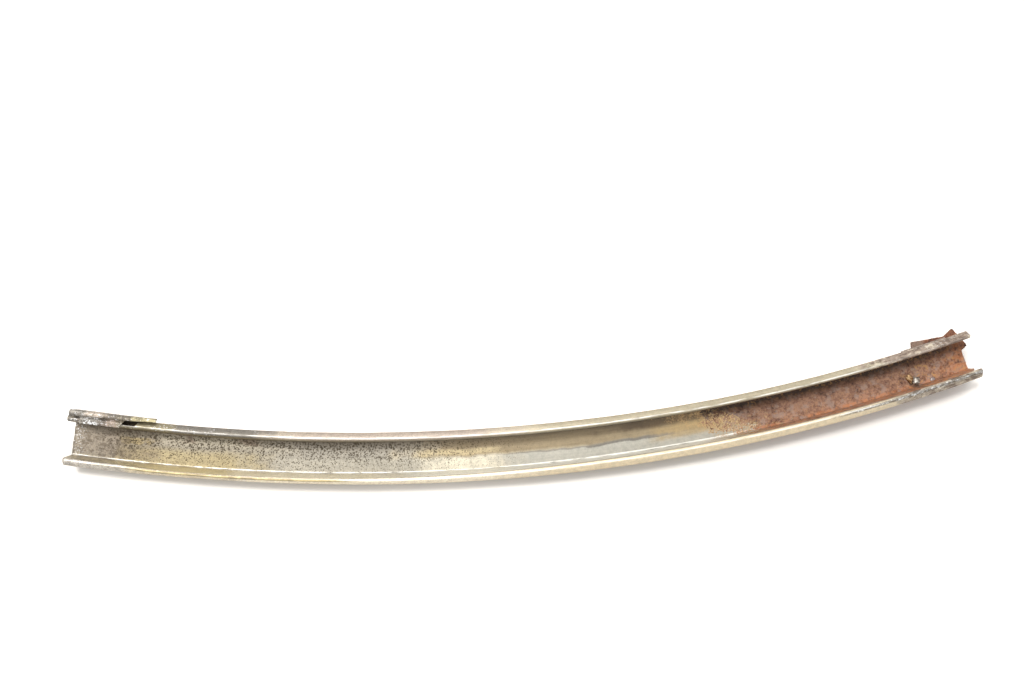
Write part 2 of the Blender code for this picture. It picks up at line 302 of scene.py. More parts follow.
def make_piece(name: str, points: np.ndarray, faces: Sequence[Sequence[int]]) -> Piece:
    """Object from points and faces, with its faces turned outwards and shaded smoothly.

    Args:
        name: The piece's name.
        points: Corner points, with x, y and z along the last axis.
        faces: Indices of each face's corners.

    Returns:
        The new object, at the origin.
    """
    mesh = bpy.data.meshes.new(name)
    mesh.from_pydata(points.reshape(-1, 3).tolist(), [], [list(face) for face in faces])
    body = bmesh.new()
    body.from_mesh(mesh)
    bmesh.ops.remove_doubles(body, verts=body.verts, dist=WELD_DISTANCE)
    bmesh.ops.recalc_face_normals(body, faces=body.faces)
    body.to_mesh(mesh)
    body.free()
    piece = bpy.data.objects.new(name, mesh)
    bpy.context.scene.collection.objects.link(piece)
    soften(piece)
    return piece


def ring_index(grid: np.ndarray) -> tuple[np.ndarray, list[list[int]]]:
    """Number the points in a stack of closed rings, and join each ring to the next.

    Args:
        grid: The points, by ring and place in the ring.

    Returns:
        The points' indices in the same order, and the faces between the rings.
    """
    index = np.arange(grid.shape[0] * grid.shape[1]).reshape(grid.shape[:2])
    beside = np.roll(index, -1, axis=1)
    quads = np.stack((index[:-1], beside[:-1], beside[1:], index[1:]), axis=-1)
    return index, quads.reshape(-1, 4).tolist()


def loft(name: str, grid: np.ndarray) -> Piece:
    """Closed piece over a stack of rings, with a face on the first and on the last."""
    index, faces = ring_index(grid)
    return make_piece(name, grid, faces + index[[0, -1]].tolist())


def prism(name: str, outline: np.ndarray, lift: np.ndarray) -> Piece:
    """Closed prism from an outline in space and the vector that carries it to its other end."""
    return loft(name, np.stack((outline, outline + lift)))


def spun(radius: np.ndarray, height: np.ndarray, turn: np.ndarray) -> np.ndarray:
    """Rings round the z axis: radius times cosine and sine of the turn, at the heights."""
    parts = (radius * np.cos(turn), radius * np.sin(turn), height[:, None])
    return np.stack(np.broadcast_arrays(*parts), axis=-1)


def sheet_along_rail(name: str, stations: np.ndarray, section: Section, sheet: Sheet,
                     shift: Optional[np.ndarray] = None,
                     skin: Optional[np.ndarray] = None) -> Piece:
    """Closed sheet metal piece that carries its section along the rail.

    Each ring goes over the upper face, round the far edge as half an ellipse, back under the
    lower face and round the near edge. The first and last ring are drawn in by the edge's
    radius, which breaks the cut ends.

    Args:
        name: The piece's name.
        stations: Station of each ring.
        section: Section at each ring.
        sheet: Thickness and edge radius.
        shift: Distance that each section point moves along the rail.
        skin: Distance that the upper face swells by, by ring and point, and the lower by half.

    Returns:
        The piece.
    """
    count = section.middle.shape[1]
    half = np.full((len(stations), count), sheet.thickness / 2.0)
    half[[0, -1]] -= sheet.edge / 2.0
    skin = np.zeros_like(half) if skin is None else skin
    slide = np.zeros_like(half) if shift is None else shift
    upper = section.middle + section.normal * (half + skin)[:, :, None]
    lower = section.middle - section.normal * (half + skin * 0.5)[:, :, None]

    def round_edge(first: np.ndarray, last: np.ndarray, out: np.ndarray) -> np.ndarray:
        """Half an ellipse from first to last, bulging by the edge's radius.

        Args:
            first: Where it starts, at each station.
            last: Where it ends.
            out: Unit vectors away from the sheet.

        Returns:
            Its points, by station.
        """
        centre, arm = (first + last) / 2.0, (first - last) / 2.0
        return (centre[:, None] + arm[:, None] * np.cos(EDGE_TURNS)[:, None]
                + out[:, None] * sheet.edge * np.sin(EDGE_TURNS)[:, None])

    far = round_edge(upper[:, -1], lower[:, -1], -left_of(section.normal[:, -1]))
    near = round_edge(lower[:, 0], upper[:, 0], left_of(section.normal[:, 0]))
    ring = np.concatenate((upper, far, lower[:, ::-1], near), axis=1)
    rim = len(EDGE_TURNS)
    moved = np.concatenate((slide, np.repeat(slide[:, -1:], rim, 1), slide[:, ::-1],
                            np.repeat(slide[:, :1], rim, 1)), axis=1)
    space = BEND.place(stations[:, None] + moved, ring[:, :, 0], ring[:, :, 1])
    index, faces = ring_index(space)
    for row in (index[0], index[-1]):
        over, under = row[:count], row[count + rim:2 * count + rim][::-1]
        faces += np.stack((over[:-1], over[1:], under[1:], under[:-1]), axis=-1).tolist()
        faces += [[over[-1], *row[count:count + rim], under[-1]],
                  [under[0], *row[2 * count + rim:], over[0]]]
    return make_piece(name, space, faces)


def carve(piece: Piece, cutters: Sequence[Piece]) -> None:
    """Cut other solids out of a piece, and remove them.

    Args:
        piece: The piece, whose mesh is changed.
        cutters: The solids.
    """
    for cutter in cutters:
        modifier = piece.modifiers.new(cutter.name, "BOOLEAN")
        modifier.operation = "DIFFERENCE"
        modifier.solver = "EXACT"
        modifier.object = cutter
    bpy.context.view_layer.update()
    evaluated = piece.evaluated_get(bpy.context.evaluated_depsgraph_get())
    whole, piece.data = piece.data, bpy.data.meshes.new_from_object(evaluated)
    piece.modifiers.clear()
    bpy.data.meshes.remove(whole)
    piece.data.name = piece.name
    for cutter in cutters:
        bpy.data.objects.remove(cutter, do_unlink=True)
    soften(piece)


def dress(piece: Piece, material: bpy.types.Material, slot: Slot, *nodes: str) -> None:
    """Give a piece its finish, and let it stand for its CAD nodes.

    Args:
        piece: The piece.
        material: Its finish.
        slot: A material slot; not used.
        nodes: The CAD nodes that it replaces.
    """
    piece.data.materials.clear()
    piece.data.materials.append(material)
    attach(piece, BODY)
    if nodes:
        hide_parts(*nodes)
    LOG.info("%s: %d faces", piece.name, len(piece.data.polygons))


@dataclass
class GuideChannel:
    """The folded channel with its lips, its notch, its rusted corner and the rivet's hole.

    Attributes:
        convex_flares: Flare of the convex flange at the left and at the right.
        bent_in: How far that flange is bent in at the left end.
        worn_lip: How much of the convex lip is worn away on the left part.
        corner: Outline of the rusted corner: millimetres from the right end, and height.
        corner_reaches: How far the corner's cutter goes out of and into the flange.
        waves: The sheet's unevenness, full beyond wave_reach from its middle.
        middle_share: How much of it the sheet's middle has.
        end_share: How much of it the rail's ends have, which are held_ends long.
        rust_edge: How the rust's start wanders along the rail.
        blister: Blisters of rust, as shares of blister_height.
        grain: Finer ones, likewise.
        bites: How the ends are eaten, along the sheet.
        bitten: How deep the bites go at the left and at the right end.
        right_loss: How much the right end has lost beyond its bites, as a share of them.
    """

    length: float = 0.4508
    width: float = 0.0150
    flange: float = 0.0153
    concave_flare: float = 0.0012
    convex_flares: Pair = (0.0019, 0.0005)
    flare_change: Pair = (-0.100, 0.060)
    bent_in: float = 0.0008
    bent_until: Pair = (-0.201, -0.182)
    worn_lip: float = 0.0005
    worn_until: Pair = (-0.150, -0.040)
    overhang: float = 0.0050
    drop: float = 0.0039
    left_slant: float = math.radians(3.0)
    notch_from_left: float = 0.0236
    notch_length: float = 0.0066
    notch_slant: float = 0.0021
    notch_from_crown: float = 0.0009
    corner: tuple[Pair, ...] = ((2.0, 6.2), (2.0, 12.6), (-1.6, 12.5), (-3.0, 12.7), (-4.4, 12.2),
                                (-3.1, 10.3), (-2.2, 9.4), (-1.0, 7.3), (0.0, 6.4))
    corner_reaches: Pair = (0.0011, 0.0008)
    sheet: Sheet = Sheet()
    waves: tuple[Wave, ...] = (Wave(0.00016, (0.055, 0.018), 3), Wave(0.00007, (0.011, 0.007), 4))
    wave_reach: Pair = (0.012, 0.026)
    middle_share: float = 0.25
    held_ends: float = 0.0204
    end_share: float = 0.4
    rust_edge: Wave = Wave(0.012, (0.008, 0.005), 8)
    rust_start: Pair = (0.095, 0.125)
    rust_reach: Pair = (0.016, 0.021)
    blister: Wave = Wave(1.0, (0.0032, 0.0028), 9)
    grain: Wave = Wave(0.6, (0.0016, 0.0015), 10)
    blister_floor: float = -0.2
    blister_height: float = 0.00007
    bites: tuple[Wave, ...] = (Wave(1.0, (0.0022, 1.0), 21), Wave(0.5, (0.0009, 1.0), 22))
    bitten: Pair = (0.00010, 0.00020)
    bite_length: float = 0.004
    right_loss: float = 0.3

    @property
    def left(self) -> float:
        """Station of the left end."""
        return -self.length / 2.0

    @property
    def right(self) -> float:
        """Station of the right end."""
        return self.length / 2.0

    @property
    def crown(self) -> float:
        """Reach of the concave crown."""
        return self.width / 2.0 + self.concave_flare

    @property
    def lip_edge(self) -> float:
        """Reach of the lips' edges."""
        return self.width / 2.0 + self.overhang

    @property
    def lip_fall(self) -> float:
        """Fall of the concave lip for each unit of reach."""
        return self.drop / (self.overhang - self.concave_flare)

    @property
    def under_lip(self) -> float:
        """Height where the cutters of the concave lip start."""
        return self.flange - self.drop - CLEARANCE

    def section(self, stations: np.ndarray) -> Section:
        """Section of the channel, its convex flare easing off to the right.

        Args:
            stations: The stations.

        Returns:
            The section at each.
        """
        first, last = self.convex_flares
        flare = first + (last - first) * smooth_step(stations, *self.flare_change)
        flare = flare - self.bent_in * (1.0 - smooth_step(stations, *self.bent_until))
        worn = self.worn_lip * (1.0 - smooth_step(stations, *self.worn_until))
        half, foot, lip = self.width / 2.0, self.sheet.thickness, self.flange - self.drop
        return folded_section(stations, (
            (worn - self.lip_edge, lip), (-half - flare, self.flange), (-half, foot),
            (half, foot), (self.crown, self.flange), (self.lip_edge, lip)), self.sheet)

    def warp(self, stations: np.ndarray, section: Section) -> None:
        """Push the sheet in and out of its true form, most along its thin lips.

        The push is the sum of a slow and a shorter wave, times a share that grows towards the
        sheet's edges and eases off towards the rail's ends.

        Args:
            stations: The stations.
            section: The section there, which is changed.
        """
        push = swell(self.waves, stations[:, None], section.developed)
        outer = smooth_step(section.off_middle, *self.wave_reach)
        free = smooth_step(np.abs(stations[:, None]), self.right, self.right - self.held_ends)
        for least, share in ((self.middle_share, outer), (self.end_share, free)):
            push = push * (least + (1.0 - least) * share)
        section.middle += section.normal * push[:, :, None]

    def scale(self, stations: np.ndarray, section: Section) -> np.ndarray:
        """Blistered rust on the right part: two random fields, the coarse one cut off below.

        Args:
            stations: The stations.
            section: The section there.

        Returns:
            The rust's height by station and point.
        """
        place = (stations[:, None], section.developed)
        amount = smooth_step(place[0] + self.rust_edge.over(*place), *self.rust_start)
        inside = 1.0 - smooth_step(section.off_middle, *self.rust_reach)
        rough = np.maximum(self.blister.over(*place), self.blister_floor) + self.grain.over(*place)
        return self.blister_height * amount * inside * rough

    def raggedness(self, stations: np.ndarray, section: Section) -> np.ndarray:
        """Slide along the rail: the slant of the left end, and both ends eaten unevenly.

        Args:
            stations: The stations.
            section: The section there.

        Returns:
            The slide by station and point.
        """
        near = self.bite_length
        at_left = smooth_step(stations[:, None], self.left + near, self.left)
        at_right = smooth_step(stations[:, None], self.right - near, self.right)
        slide = -math.tan(self.left_slant) * section.middle[:, :, 0] * at_left
        bite = swell(self.bites, section.developed)
        left, right = self.bitten
        return slide + at_left * left * bite - at_right * right * (bite + self.right_loss)

    def notch(self) -> Piece:
        """Cutter of the slanted notch in the concave lip.

        Returns:
            The cutter.
        """
        start = self.left + self.notch_from_left
        inner, outer = self.crown + self.notch_from_crown, self.lip_edge + CLEARANCE
        lean = self.notch_slant * (outer - inner) / (self.lip_edge - self.crown)
        end = start + self.notch_length
        outline = BEND.place(np.array([start, end, end + lean, start + lean]),
                             np.array([inner, inner, outer, outer]), self.under_lip)
        return prism("lip_notch", outline, CUTTER_LIFT)

    def rusted_corner(self) -> Piece:
        """Cutter of the corner that rust has eaten out of the convex flange.

        Returns:
            The cutter.
        """
        station, height = np.array(self.corner).T * MM
        face = -self.width / 2.0
        out = face - self.convex_flares[1] - self.corner_reaches[0]
        inward = BEND.place(self.right, face + self.corner_reaches[1], 0.0)
        outline = BEND.place(self.right + station, out, height)
        return prism("rusted_corner", outline, inward - BEND.place(self.right, out, 0.0))

    def build(self, hole: Piece) -> None:
        """Build and dress the channel.

        Args:
            hole: Cutter of the rivet's hole.
        """
        stations = self.sheet.rings(self.left, self.right)
        section = self.section(stations)
        self.warp(stations, section)
        piece = sheet_along_rail("rail_channel", stations, section, self.sheet,
                                 self.raggedness(stations, section), self.scale(stations, section))
        carve(piece, [self.notch(), self.rusted_corner(), hole])
        dress(piece, PlatedSteel().build(), Slot.YELLOW_ZINC, "guide_channel")


@dataclass
class WingBracket:
    """Bracket over the concave lip: a plate on the lip, a raised rim and a skirt.

    Attributes:
        rim: Inner reach, outer reach and height of the rim, and height of the skirt's foot.
        tail: The same at the right end, where the rim is at its lowest.
        wall_left: What is left of the rim's inner wall where the plate hasn't begun.
        cut_steps: Points along the cutter past the notch.
        bitten: How deep the ends are eaten.
        bitten_from: Where that begins and is full, as shares of the length off its middle.
        shade_block_heights: Where the dark block of painted shade under the notch starts, and how
            tall it is.
        shade_block_past: How far that block goes past the notch to the left and to the right.
    """

    channel: GuideChannel
    gap: float = 0.0003
    length: float = 0.0396
    plate_start: float = 0.0056
    plate_slant: float = 0.0003
    plate_inset: float = 0.0004
    rim: Four = (0.0119, 0.0141, 0.0149, 0.0050)
    tail: Four = (0.0125, 0.0142, 0.0131, 0.0108)
    tail_length: float = 0.0165
    wall_left: float = 0.0006
    cut_steps: int = 12
    sheet: Sheet = Sheet(fold_radius=0.00012, fold_steps=3, pitch=0.0004, ring_pitch=0.0004,
                         edge=0.00012)
    waves: tuple[Wave, ...] = (Wave(0.00010, (0.006, 0.004), 31),)
    pits: Wave = Wave(0.00004, (0.0011, 0.0009), 32)
    bites: Wave = Wave(1.0, (0.0012, 1.0), 33)
    bitten: float = 0.0002
    bitten_from: Pair = (0.4, 0.5)
    shade_block_heights: Pair = (0.0060, 0.0022)
    shade_block_past: Pair = (0.003, 0.003)

    @property
    def end(self) -> float:
        """Station of the right end."""
        return self.channel.left + self.length

    def crown_height(self) -> float:
        """Height of the channel's rounded concave crown.

        Returns:
            The height, from the radius and slopes of the fold.
        """
        channel = self.channel
        radius = channel.sheet.fold_radius + channel.sheet.thickness
        rise = math.atan2(channel.flange - channel.sheet.thickness, channel.concave_flare)
        fall = math.atan(channel.lip_fall)
        tangent = radius * math.tan((rise + fall) / 2.0)
        return channel.flange - tangent * math.sin(rise) - radius * math.cos(rise) + radius

    def rim_at(self, stations: np.ndarray) -> list[np.ndarray]:
        """The rim's four sizes at each station, easing into its tail."""
        share = smooth_step(stations, self.end - self.tail_length, self.end)
        return [first + (last - first) * share for first, last in zip(self.rim, self.tail)]

    def section(self, stations: np.ndarray) -> Section:
        """Section of plate, valley, rim and skirt.

        Args:
            stations: The stations.

        Returns:
            The section at each.
        """
        channel = self.channel
        inner, outer, height, foot = self.rim_at(stations)
        top = self.crown_height() + self.gap + self.sheet.thickness
        lift = (self.gap + self.sheet.thickness) * math.hypot(1.0, channel.lip_fall)
        ridge = channel.crown + (channel.flange + lift - top) / channel.lip_fall
        valley = inner - self.sheet.thickness / 2.0
        low = channel.flange + lift - channel.lip_fall * (valley - channel.crown)
        return folded_section(stations, (
            (channel.crown - self.plate_inset, top), (ridge, top), (valley, low),
            (inner, height), (outer, height), (outer, foot)), self.sheet)

    def cutters(self) -> list[Piece]:
        """Patches where only the rim is left: past the notch, and left of the plate.

        Returns:
            Both cutters.
        """
        channel = self.channel
        start, rim_inner = channel.left + channel.notch_from_left, self.rim[0]
        inside = channel.crown - self.plate_inset - CLEARANCE
        slant = channel.notch_slant / (channel.lip_edge - channel.crown)
        past = self.end + CLEARANCE
        stations = np.linspace(start, past, self.cut_steps)
        reach = self.rim_at(stations)[0]
        stations[0] = start + slant * (rim_inner - channel.crown)
        stations = np.concatenate(([start + slant * (inside - channel.crown)], stations, [past]))
        reach = np.concatenate(([inside], reach, [inside]))
        plate, before = channel.left + self.plate_start, channel.left - CLEARANCE
        left = np.array([before, plate - self.plate_slant, plate, before])
        wall = rim_inner - self.wall_left
        left_reach = np.array([inside, inside, wall, wall])
        return [prism("past_notch", BEND.place(stations, reach, channel.under_lip), CUTTER_LIFT),
                prism("before_plate", BEND.place(left, left_reach, channel.under_lip), CUTTER_LIFT)]

    def shade_block(self) -> Piece:
        """Dark block of painted shade that fills the gap between flange and skirt, deep under
        the notch.

        Returns:
            The piece.
        """
        channel = self.channel
        start = channel.left + channel.notch_from_left
        end = start + channel.notch_length + channel.notch_slant + self.shade_block_past[1]
        start = start - self.shade_block_past[0]
        inner = channel.crown + channel.sheet.thickness
        outer = self.rim[1] - self.sheet.thickness / 2.0
        foot, height = self.shade_block_heights
        outline = BEND.place(np.array([start, end, end, start]),
                             np.array([inner, inner, outer, outer]), foot)
        return prism("rail_wing_shade_block", outline, np.array([0.0, 0.0, height]))

    def build(self) -> None:
        """Build and dress the bracket, its faces pitted and its ends uneven, and its block of
        painted shade.
        """
        stations = self.sheet.rings(self.channel.left, self.end)
        section = self.section(stations)
        push = swell(self.waves, stations[:, None], section.developed)
        section.middle += section.normal * push[:, :, None]
        off = stations - stations.mean()
        ends = smooth_step(np.abs(off) / self.length, *self.bitten_from)
        inward = (-self.bitten * np.sign(off) * ends)[:, None]
        piece = sheet_along_rail("rail_wing", stations, section, self.sheet,
                                 inward * (self.bites.over(section.developed) + 1.0),
                                 self.pits.over(stations[:, None], section.developed))
        carve(piece, self.cutters())
        dress(piece, GreyZinc().build(), Slot.GREY_ZINC, "wing_bracket")
        # The dark block under the notch is painted shade.
        dress(self.shade_block(), SHADE_BLOCK_FINISH.build(), Slot.GREY_ZINC)


@dataclass
class LipStiffener:
    """Angle nested behind the concave flange and lip, near the right end."""

    channel: GuideChannel
    gap: float = 0.0003
    length: float = 0.0247
    from_end: float = 0.0114
    past_lip: float = 0.0004
    foot: float = 0.0035
    sheet: Sheet = Sheet(pitch=0.0005, ring_pitch=0.0005)
    pits: Wave = Wave(0.00005, (0.0014, 0.0012), 41)

    def build(self) -> None:
        """Build and dress the angle, offset from the channel's outside by a gap.

        Its flange and lip are the channel's, moved square to themselves by the channel's sheet
        and the gap. The corner's height is the moved lip's at the moved flange's reach at the
        web's back, divided by one plus the product of the two slopes.
        """
        channel = self.channel
        run = channel.concave_flare / (channel.flange - channel.sheet.thickness)
        beside = (channel.sheet.thickness + self.gap) * math.hypot(1.0, run)
        below = (channel.sheet.thickness + self.gap) * math.hypot(1.0, channel.lip_fall)
        half = channel.width / 2.0
        low = half + run * (self.foot - channel.sheet.thickness) + beside
        start = half - run * channel.sheet.thickness + beside
        corner = channel.flange - below - channel.lip_fall * (start - channel.crown)
        corner /= 1.0 + channel.lip_fall * run
        edge = channel.lip_edge + self.past_lip
        edge_height = channel.flange - below - channel.lip_fall * (edge - channel.crown)
        end = channel.right - self.from_end
        stations = self.sheet.rings(end - self.length, end)
        section = folded_section(stations, ((low, self.foot), (start + run * corner, corner),
                                            (edge, edge_height)), self.sheet)
        piece = sheet_along_rail("rail_stiffener", stations, section, self.sheet,
                                 skin=self.pits.over(stations[:, None], section.developed))
        dress(piece, PALE_ZINC.build(), Slot.GREY_ZINC, "lip_stiffener")


@dataclass(frozen=True)
class Leaf:
    """A leaf of the rivet: its heading, length and width, and its flute's share of the width."""

    angle: float
    length: float
    width: float
    flute: float


@dataclass
class SplitRivet:
    """Split rivet: domed head behind the bracket, shank, and two leaves curled on the web.

    Attributes:
        leaf_taper: How much of its thickness a leaf loses towards its tip.
        leaf_tip: Share of the curl where a leaf starts to close, and the closing's length.
        leaf_arch: How far a leaf's sides hang, as a share of its half width.
        leaf_powers: Powers that flatten its curl, its width's oval and its height's.
        pip_top: Radius of the pip's flat top.
        pip_foot: Radius of its foot, which is sunk in the web, as a share of the pip's.
        pip_waves: How far its outline is from round, by two waves and by five.
    """

    channel: GuideChannel
    gap: float = 0.0003
    from_right: float = 0.0312
    reach: float = -0.0043
    shank_radius: float = 0.0015
    head_radius: float = 0.0033
    head_height: float = 0.0010
    shank_edge: float = 0.0002
    head_edge: float = 0.0001
    bracket_sheet: float = 0.0015
    leaves: tuple[Leaf, ...] = (Leaf(math.radians(-3.0), 0.0037, 0.0036, 0.07),
                                Leaf(math.radians(136.0), 0.0041, 0.0031, 0.11))
    leaf_start: float = 0.0004
    leaf_thickness: float = 0.0008
    leaf_rise: float = 0.0019
    leaf_curl: float = math.radians(150.0)
    leaf_spread: float = 0.15
    leaf_taper: float = 0.35
    leaf_tip: Pair = (0.82, 0.2)
    leaf_arch: float = 0.12
    leaf_powers: Triple = (0.7, 0.75, 0.8)
    leaf_rings: int = 44
    pip_station: float = 0.2053
    pip_reach: float = -0.0068
    pip_radius: float = 0.0013
    pip_height: float = 0.0006
    pip_sunk: float = 0.0002
    pip_top: float = 0.00002
    pip_foot: float = 0.5
    pip_waves: Pair = (0.08, 0.05)
    pip_rings: int = 7
    dome_rings: int = 8
    around: int = 48
    small_around: int = 32

    @property
    def station(self) -> float:
        """Station of the rivet."""
        return self.channel.right - self.from_right

    @property
    def foot(self) -> np.ndarray:
        """Point on the rivet's axis at the web's back."""
        return BEND.place(self.station, self.reach, 0.0)

    def hole(self, name: str, low: float, high: float) -> Piece:
        """Cutter of a clearance hole between two heights."""
        radius = np.full((2, 1), self.shank_radius + self.gap)
        return loft(name, spun(radius, np.array([low, high]), full_turn(self.around)) + self.foot)

    def head_and_shank(self) -> Piece:
        """Turned part: radius and height along a line, spun round the axis.

        The line runs from the shank's top over its broken edge, down the shank, out under the
        head and over the head's dome, a quarter of an ellipse.

        Returns:
            The piece.
        """
        top = self.channel.sheet.thickness + self.gap
        under = -2.0 * self.gap - self.bracket_sheet
        dome = quarter_turn(self.dome_rings)[:-1]
        radius = np.concatenate(([self.shank_radius - self.shank_edge, self.shank_radius,
                                  self.shank_radius, self.head_radius - self.head_edge],
                                 self.head_radius * np.cos(dome)))
        bulge = (self.head_height - self.head_edge) * np.sin(dome)
        height = np.concatenate(([top, top - self.shank_edge, under, under],
                                 under - self.head_edge - bulge))
        return loft("rail_rivet", spun(radius[:, None], height, full_turn(self.around)) + self.foot)

    def leaf(self, name: str, leaf: Leaf) -> Piece:
        """One leaf, bent out of the shank and down to the web.

        Its middle line is a stretched arc: out grows with 1 minus the cosine of the curl, and
        height with a power of its sine. The section across is a flat oval, arched towards its
        sides, with a flute along its middle.

        Args:
            name: The piece's name.
            leaf: Its sizes.

        Returns:
            The piece.
        """
        curl_power, width_power, height_power = self.leaf_powers
        turn = np.linspace(0.0, self.leaf_curl, self.leaf_rings)
        swing = (leaf.length - self.leaf_start) / (1.0 - math.cos(self.leaf_curl))
        out = self.leaf_start + swing * (1.0 - np.cos(turn))
        rise = self.leaf_rise * np.abs(np.sin(turn)) ** curl_power
        height = self.channel.sheet.thickness + rise
        climb = np.arctan2(np.gradient(height), np.gradient(out))[:, None]
        share = turn / self.leaf_curl
        closing = np.clip((share - self.leaf_tip[0]) / self.leaf_tip[1], 0.0, 1.0)
        half = leaf.width / 2.0 * (1.0 + self.leaf_spread * share)
        half = (half * np.sqrt(np.clip(1.0 - closing ** 2, 0.0, 1.0)))[:, None]
        thick = self.leaf_thickness * (1.0 - self.leaf_taper * share)[:, None]
        across, above = ahead_of(full_turn(self.small_around)).T
        side = np.sign(across) * np.abs(across) ** width_power
        lift = np.sign(above) * np.abs(above) ** height_power * thick / 2.0
        lift = lift - self.leaf_arch * half * side ** 2
        lift = lift - leaf.flute * half * np.cos(2.0 * math.pi * side)
        away = out[:, None] - lift * np.sin(climb)
        up = height[:, None] + lift * np.cos(climb)
        wide = half * side
        east, north = ahead_of(leaf.angle)
        parts = (east * away - north * wide, north * away + east * wide, up)
        return loft(name, np.stack(parts, -1) + self.foot)

    def pip(self) -> Piece:
        """Low round pip on the web beside the leaves: its height falls as an ellipse.

        Returns:
            The piece.
        """
        turn, fall = full_turn(self.small_around), quarter_turn(self.pip_rings)
        radius = np.concatenate((self.pip_radius * np.sin(fall) + self.pip_top,
                                 [self.pip_radius, self.pip_radius * self.pip_foot]))
        height = np.concatenate((self.pip_height * np.cos(fall), [-self.pip_sunk] * 2))
        two, five = self.pip_waves
        uneven = 1.0 + two * np.cos(2.0 * turn) + five * np.cos(5.0 * turn)
        foot = BEND.place(self.pip_station, self.pip_reach, self.channel.sheet.thickness)
        return loft("rail_pip", spun(radius[:, None] * uneven, height, turn) + foot)

    def build(self) -> None:
        """Build and dress the turned part, its two leaves and the pip."""
        gold = GOLD_RIVET.build()
        dress(self.head_and_shank(), gold, Slot.YELLOW_ZINC, "split_rivet")
        for number, finish in enumerate((SILVER_RIVET.build(), gold)):
            leaf = self.leaf(f"rail_rivet_leaf_{number + 1}", self.leaves[number])
            dress(leaf, finish, Slot.YELLOW_ZINC)
        dress(self.pip(), LILAC_GREY.build(), Slot.YELLOW_ZINC)


@dataclass
class EndBracket:
    """Flat bracket behind the web, with its ear past the rail's right end.

    Attributes:
        wing: Place of the wing's corner around the rivet, along and across the rail there.
        centre: A point inside the outline, from which the rings spread.
        scale: The rust's unevenness on both faces.
        bites: How the outline is eaten, along it, as shares of bitten.
        rounds: How often the outline is smoothed.
        rings: How many rings there are, the first one's share of the way out, and the power
            that crowds them outwards.
    """

    rivet: SplitRivet
    thickness: float = 0.0015
    ear_length: float = 0.0361
    ear_width: float = 0.0119
    ear_aside: float = -0.0015
    ear_angle: float = math.radians(25.4)
    wing: Pair = (0.0067, 0.0192)
    wing_angle: float = math.radians(-7.2)
    centre: Pair = (0.0120, 0.0088)
    edge: float = 0.0003
    scale: tuple[Wave, ...] = (Wave(0.00007, (0.0016, 0.0016), 53),
                               Wave(0.00004, (0.0007, 0.0007), 54))
    bites: tuple[Wave, ...] = (Wave(1.0, (0.0016, 1.0), 51), Wave(0.6, (0.0006, 1.0), 52))
    bitten: float = 0.00012
    ear_steps: int = 24
    outline_steps: int = 420
    rounds: int = 2
    rings: tuple[int, float, float] = (34, 0.04, 0.8)

    def corners(self) -> np.ndarray:
        """Outline around the rivet, along and across the rail there.

        Returns:
            The wing's foot on the ear, the ear's round end, its far corners and the wing.
        """
        half = self.ear_width / 2.0
        along, edge = ahead_of(self.ear_angle), ahead_of(self.wing_angle)
        across = left_of(along)
        wing = np.array(self.wing)

        def meet_ear(heading: np.ndarray) -> np.ndarray:
            """Point where a line from the wing's corner meets the ear's upper edge."""
            away = (self.ear_aside + half - wing @ across) / (heading @ across)
            return wing + heading * away

        turn = np.linspace(math.pi / 2.0, 3.0 * math.pi / 2.0, self.ear_steps + 1)[:, None]
        rounded = along * half * np.cos(turn) + across * (self.ear_aside + half * np.sin(turn))
        end = along * self.ear_length
        return np.concatenate((meet_ear(-left_of(edge))[None], rounded,
                               [end + across * (self.ear_aside - half),
                                end + across * (self.ear_aside + half),
                                meet_ear(edge), wing]))

    def outline(self) -> np.ndarray:
        """The corners' outline at even steps, eaten unevenly by rust.

        Returns:
            The points.
        """
        corners = np.concatenate((self.corners(), self.corners()[:1]))
        sides = np.linalg.norm(np.diff(corners, axis=0), axis=1)
        length = np.concatenate(([0.0], np.cumsum(sides)))
        at = np.linspace(0.0, length[-1], self.outline_steps + 1)[:-1]
        line = np.stack([np.interp(at, length, corners[:, k]) for k in (0, 1)], -1)
        for _ in range(self.rounds):
            line = 0.5 * line + 0.25 * (np.roll(line, 1, 0) + np.roll(line, -1, 0))
        away = line - np.array(self.centre)
        bite = (self.bitten * (swell(self.bites, at) + 1.0))[:, None]
        return line - away / np.linalg.norm(away, axis=1)[:, None] * bite

    def build(self) -> None:
        """Build and dress the bracket: rings between its centre and outline, over both faces.

        A ring stands at a share of the way from the centre to the outline. Its height is the
        face's, less a quarter round near the edge, plus random fields for the rust's scale.
        """
        centre, gap, edge = np.array(self.centre), self.rivet.gap, self.edge
        count, first, power = self.rings
        share = (np.linspace(first, 1.0, count) ** power)[:, None]
        away = self.outline() - centre
        inset = (np.linalg.norm(away, axis=1) * (1.0 - share)).clip(0.0, edge)
        fall = edge - np.sqrt(np.clip(edge ** 2 - (edge - inset) ** 2, 0.0, None))
        flat = centre + away * share[:, :, None]
        scale = np.abs(swell(self.scale, flat[..., 0], flat[..., 1]))
        bottom = -gap - self.thickness + fall + scale[:, ::-1]
        flat = np.concatenate((flat, flat[::-1]))
        height = np.concatenate((-gap - fall - scale, bottom[::-1]))
        along = ahead_of(self.rivet.station / BEND.radius)
        ground = self.rivet.foot[:2] + flat[..., :1] * along + flat[..., 1:] * left_of(along)
        piece = loft("rail_end_bracket", np.concatenate((ground, height[..., None]), -1))
        carve(piece, [self.rivet.hole("bracket_hole", -2.0 * CLEARANCE, CLEARANCE)])
        dress(piece, RustedSteel().build(), Slot.RUSTED, "end_bracket")


def colour(*parts: int) -> Tone:
    """Linear colour of a display colour, whose three parts go from 0 to 255."""
    values = [part / 255.0 for part in parts]
    return (*(v / 12.92 if v <= 0.04045 else ((v + 0.055) / 1.055) ** 2.4 for v in values), 1.0)


